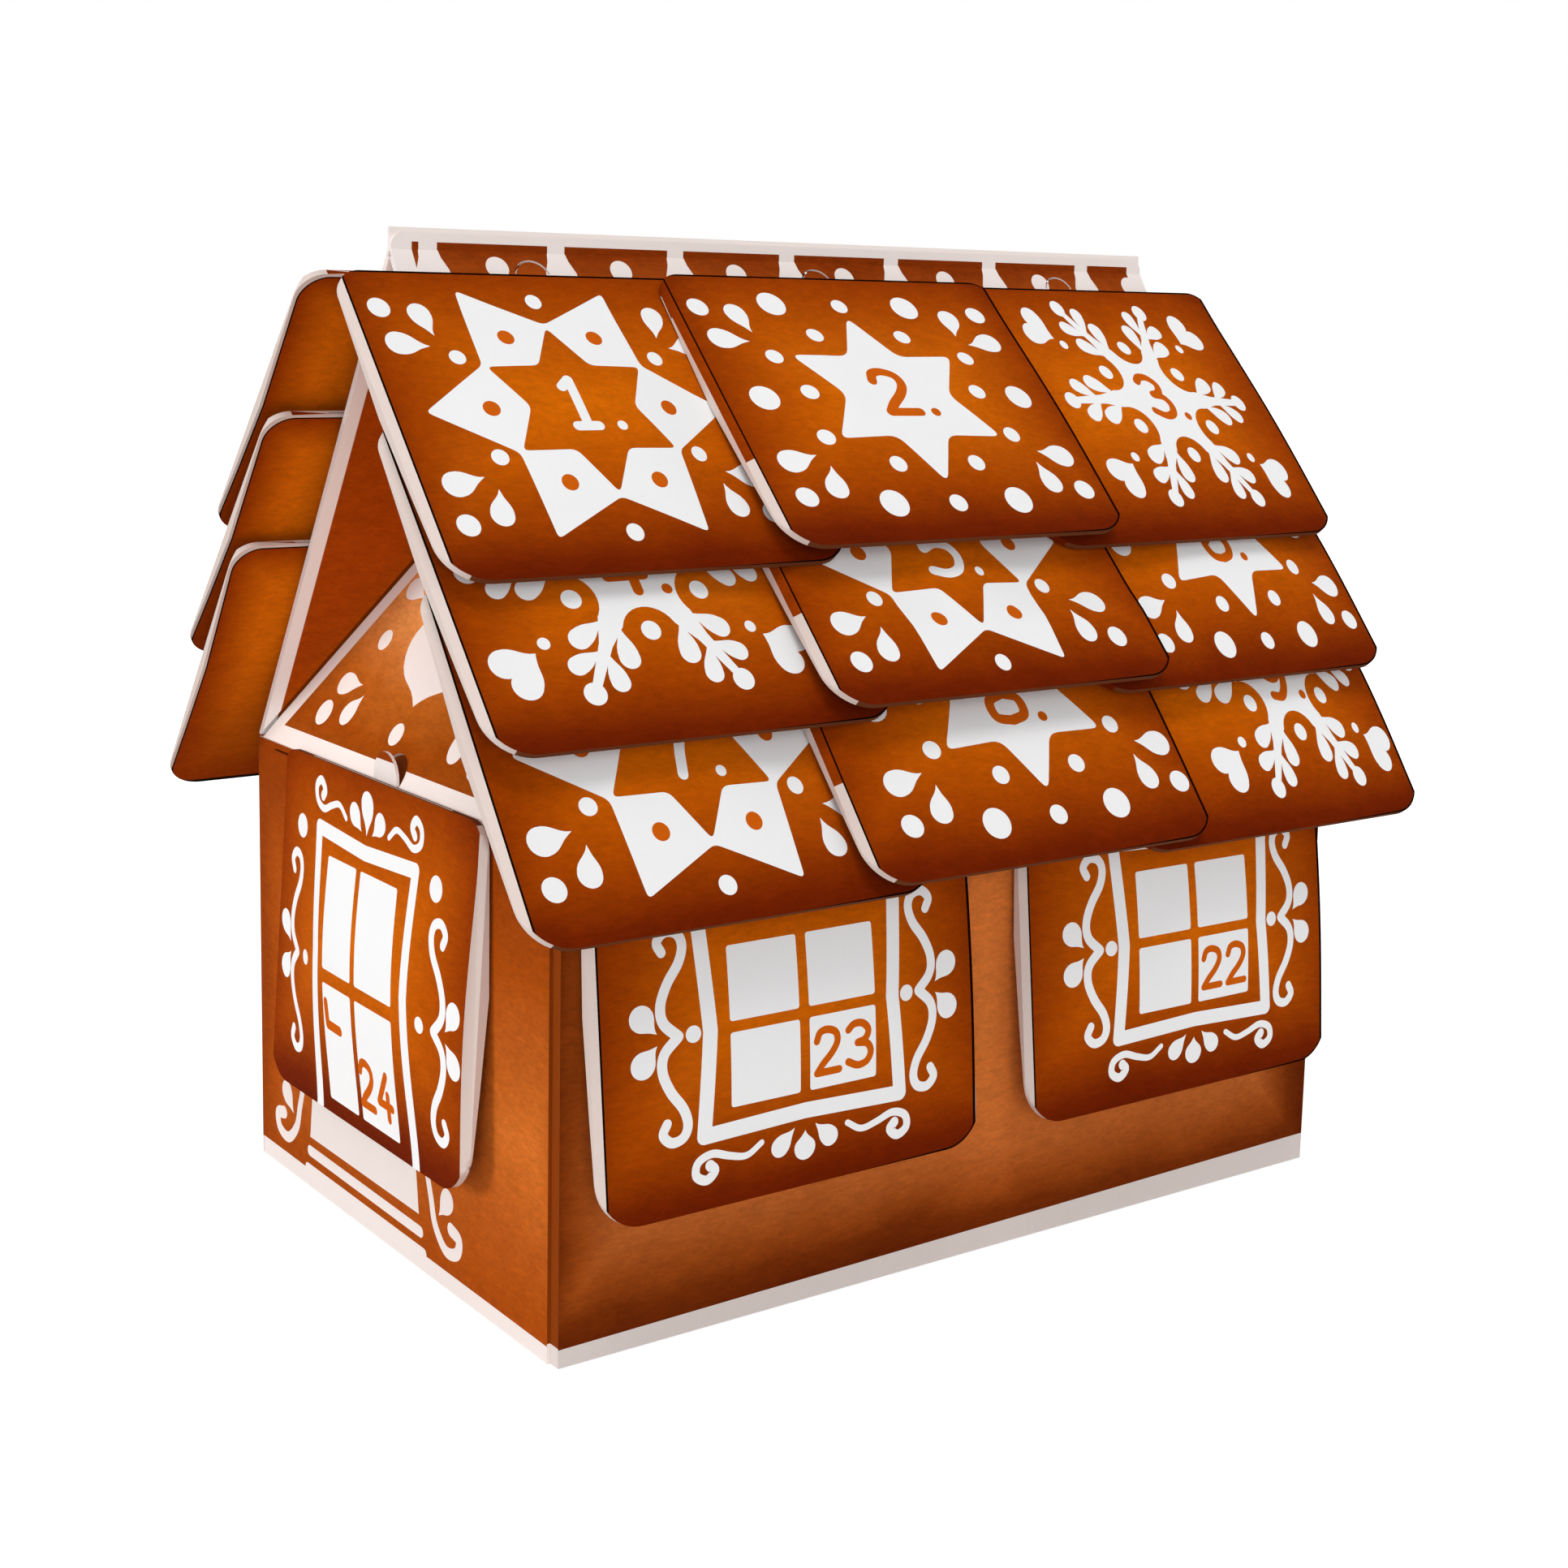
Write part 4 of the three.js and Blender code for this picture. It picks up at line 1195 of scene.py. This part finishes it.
def tea_leaf_paper():
    """Thin filter paper with the tea showing through."""
    nodes = start_material("tea_filter_paper", 0.9)
    leaves = nodes.noise(nodes.place(), 600.0, 4.0)
    share = nodes.rescale(leaves, 0.45, 0.6, 0.0, 0.55)
    colour = nodes.mix(share, srgb(228, 216, 192), srgb(150, 118, 70))
    return finish_material(nodes, colour, leaves, 0.4, 0.0003)


def pouch_depth(u, v, layer):
    """Share of the bag's thickness at a place on its front or back layer; u and v run from -1 to 1."""
    from_edge = min(1 - abs(u), 1 - abs(v))
    if from_edge == 0:
        return 0.5
    fill = 0.12 + 0.88 * ease(from_edge / (1 - BAG_SEAM) - BAG_SEAM, 0.0, 0.62)
    return 0.5 + (layer - 0.5) * fill


def pouch_layer(mesh, low, high, layer, rim):
    """One layer of the bag, its edge shared with the other layer through rim."""
    verts = {}
    for i in range(BAG_STEPS + 1):
        for j in range(BAG_STEPS + 1):
            u, v = 2 * i / BAG_STEPS - 1, 2 * j / BAG_STEPS - 1
            shares = ((u + 1) / 2, (v + 1) / 2, pouch_depth(u, v, layer))
            place = [low[k] + (high[k] - low[k]) * share for k, share in enumerate(shares)]
            verts[(i, j)] = rim.get((i, j)) or mesh.verts.new(place)
            if not (0 < i < BAG_STEPS and 0 < j < BAG_STEPS):
                rim[(i, j)] = verts[(i, j)]
    for i in range(BAG_STEPS):
        for j in range(BAG_STEPS):
            face = [verts[(i, j)], verts[(i + 1, j)], verts[(i + 1, j + 1)], verts[(i, j + 1)]]
            mesh.faces.new(face if layer else face[::-1])


def make_tea_bag(day, material):
    """Crowned pouch with a flat pressed seam round it, in the space of the CAD bag."""
    node = f"tea_bag_{day:02d}"
    plane = envelope_plane(f"envelope_{day:02d}")
    space = local_mesh(node, plane, [])
    low = [min(v.co[k] for v in space.verts) for k in range(3)]
    high = [max(v.co[k] for v in space.verts) for k in range(3)]
    space.free()
    mesh = bmesh.new()
    rim = {}
    for layer in (0, 1):
        pouch_layer(mesh, low, high, layer, rim)
    finish_piece(mesh, f"filled_{node}", plane, node, "tea_filter_paper", [material])


def build_tea_bags():
    """One filled bag for each envelope."""
    material = tea_leaf_paper()
    for day in range(1, 25):
        make_tea_bag(day, material)


def give_material(node, material):
    """Gives a CAD node that stays in sight its material."""
    data = frame["nodes"][node].data
    data.materials.clear()
    data.materials.append(material)


# Camera, floor and light


def make_camera():
    """Camera at the photograph's viewpoint."""
    yaw, pitch, roll = (math.radians(a) for a in (CAMERA_YAW, CAMERA_PITCH, CAMERA_ROLL))
    ahead = Vector((math.sin(yaw) * math.cos(pitch), math.cos(yaw) * math.cos(pitch), -math.sin(pitch)))
    level = Vector((math.cos(yaw), -math.sin(yaw), 0))
    above = level.cross(ahead)
    right = level * math.cos(roll) + above * math.sin(roll)
    up = above * math.cos(roll) - level * math.sin(roll)
    data = bpy.data.cameras.new("camera")
    data.sensor_fit = "HORIZONTAL"
    data.sensor_width = CAMERA_SENSOR
    data.lens = CAMERA_LENS
    data.shift_y = CAMERA_SHIFT_Y
    data.clip_start = 0.01
    data.clip_end = 100
    camera = add_object("camera", data)
    turn = Matrix((right, up, -ahead)).transposed().to_4x4()
    camera.matrix_world = Matrix.Translation(Vector(CAMERA_PLACE) * MM) @ turn
    bpy.context.scene.camera = camera


def seen_directly(nodes):
    """1 where the camera, a reflection or glass looks straight at a thing."""
    path = nodes.add("ShaderNodeLightPath")
    seen = nodes.math("MAXIMUM", path.outputs["Is Camera Ray"], path.outputs["Is Glossy Ray"])
    return nodes.math("MAXIMUM", seen, path.outputs["Is Transmission Ray"])


def make_floor():
    """Pale floor that keeps the shadow of the house."""
    data = bpy.data.meshes.new("floor")
    corners = [(x * FLOOR_HALF, y * FLOOR_HALF, 0) for x, y in ((-1, -1), (1, -1), (1, 1), (-1, 1))]
    data.from_pydata(corners, [], [(0, 1, 2, 3)])
    floor = add_object("floor", data)
    floor.location.z = -FLOOR_GAP
    nodes = start_material("floor", 0.9, 0.0)
    nodes.feed(nodes.shader, "Emission Color", (1, 1, 1, 1))
    nodes.feed(nodes.shader, "Emission Strength", nodes.math("MULTIPLY", seen_directly(nodes), FLOOR_GLOW))
    data.materials.append(finish_material(nodes, (FLOOR_TONE, FLOOR_TONE, FLOOR_TONE, 1)))


def make_world():
    """Even white light, and a white background where it is seen directly."""
    world = bpy.data.worlds.new("world")
    bpy.context.scene.world = world
    nodes = Nodes(world)
    background = nodes.tree.nodes["Background"]
    nodes.feed(background, "Color", (1, 1, 1, 1))
    strength = nodes.rescale(seen_directly(nodes), 0.0, 1.0, AMBIENT, 1.0)
    nodes.feed(background, "Strength", strength)


def make_sun(name, direction, strength, angle):
    """A soft sun that shines from the given direction."""
    data = bpy.data.lights.new(name, "SUN")
    data.energy = strength
    data.angle = math.radians(angle)
    light = add_object(name, data)
    light.rotation_euler = Vector(direction).to_track_quat("Z", "Y").to_euler()


build_envelopes()
build_carton()
build_tea_bags()
make_camera()
make_floor()
make_world()
make_sun("side_sun", (-0.93, 0.25, 0.28), SIDE_SUN, 18)
make_sun("top_sun", (-0.2, -0.35, 0.91), TOP_SUN, 25)
make_sun("front_sun", (-0.5, -0.85, 0.12), FRONT_SUN, 40)
bpy.context.scene.view_settings.view_transform = "Standard"
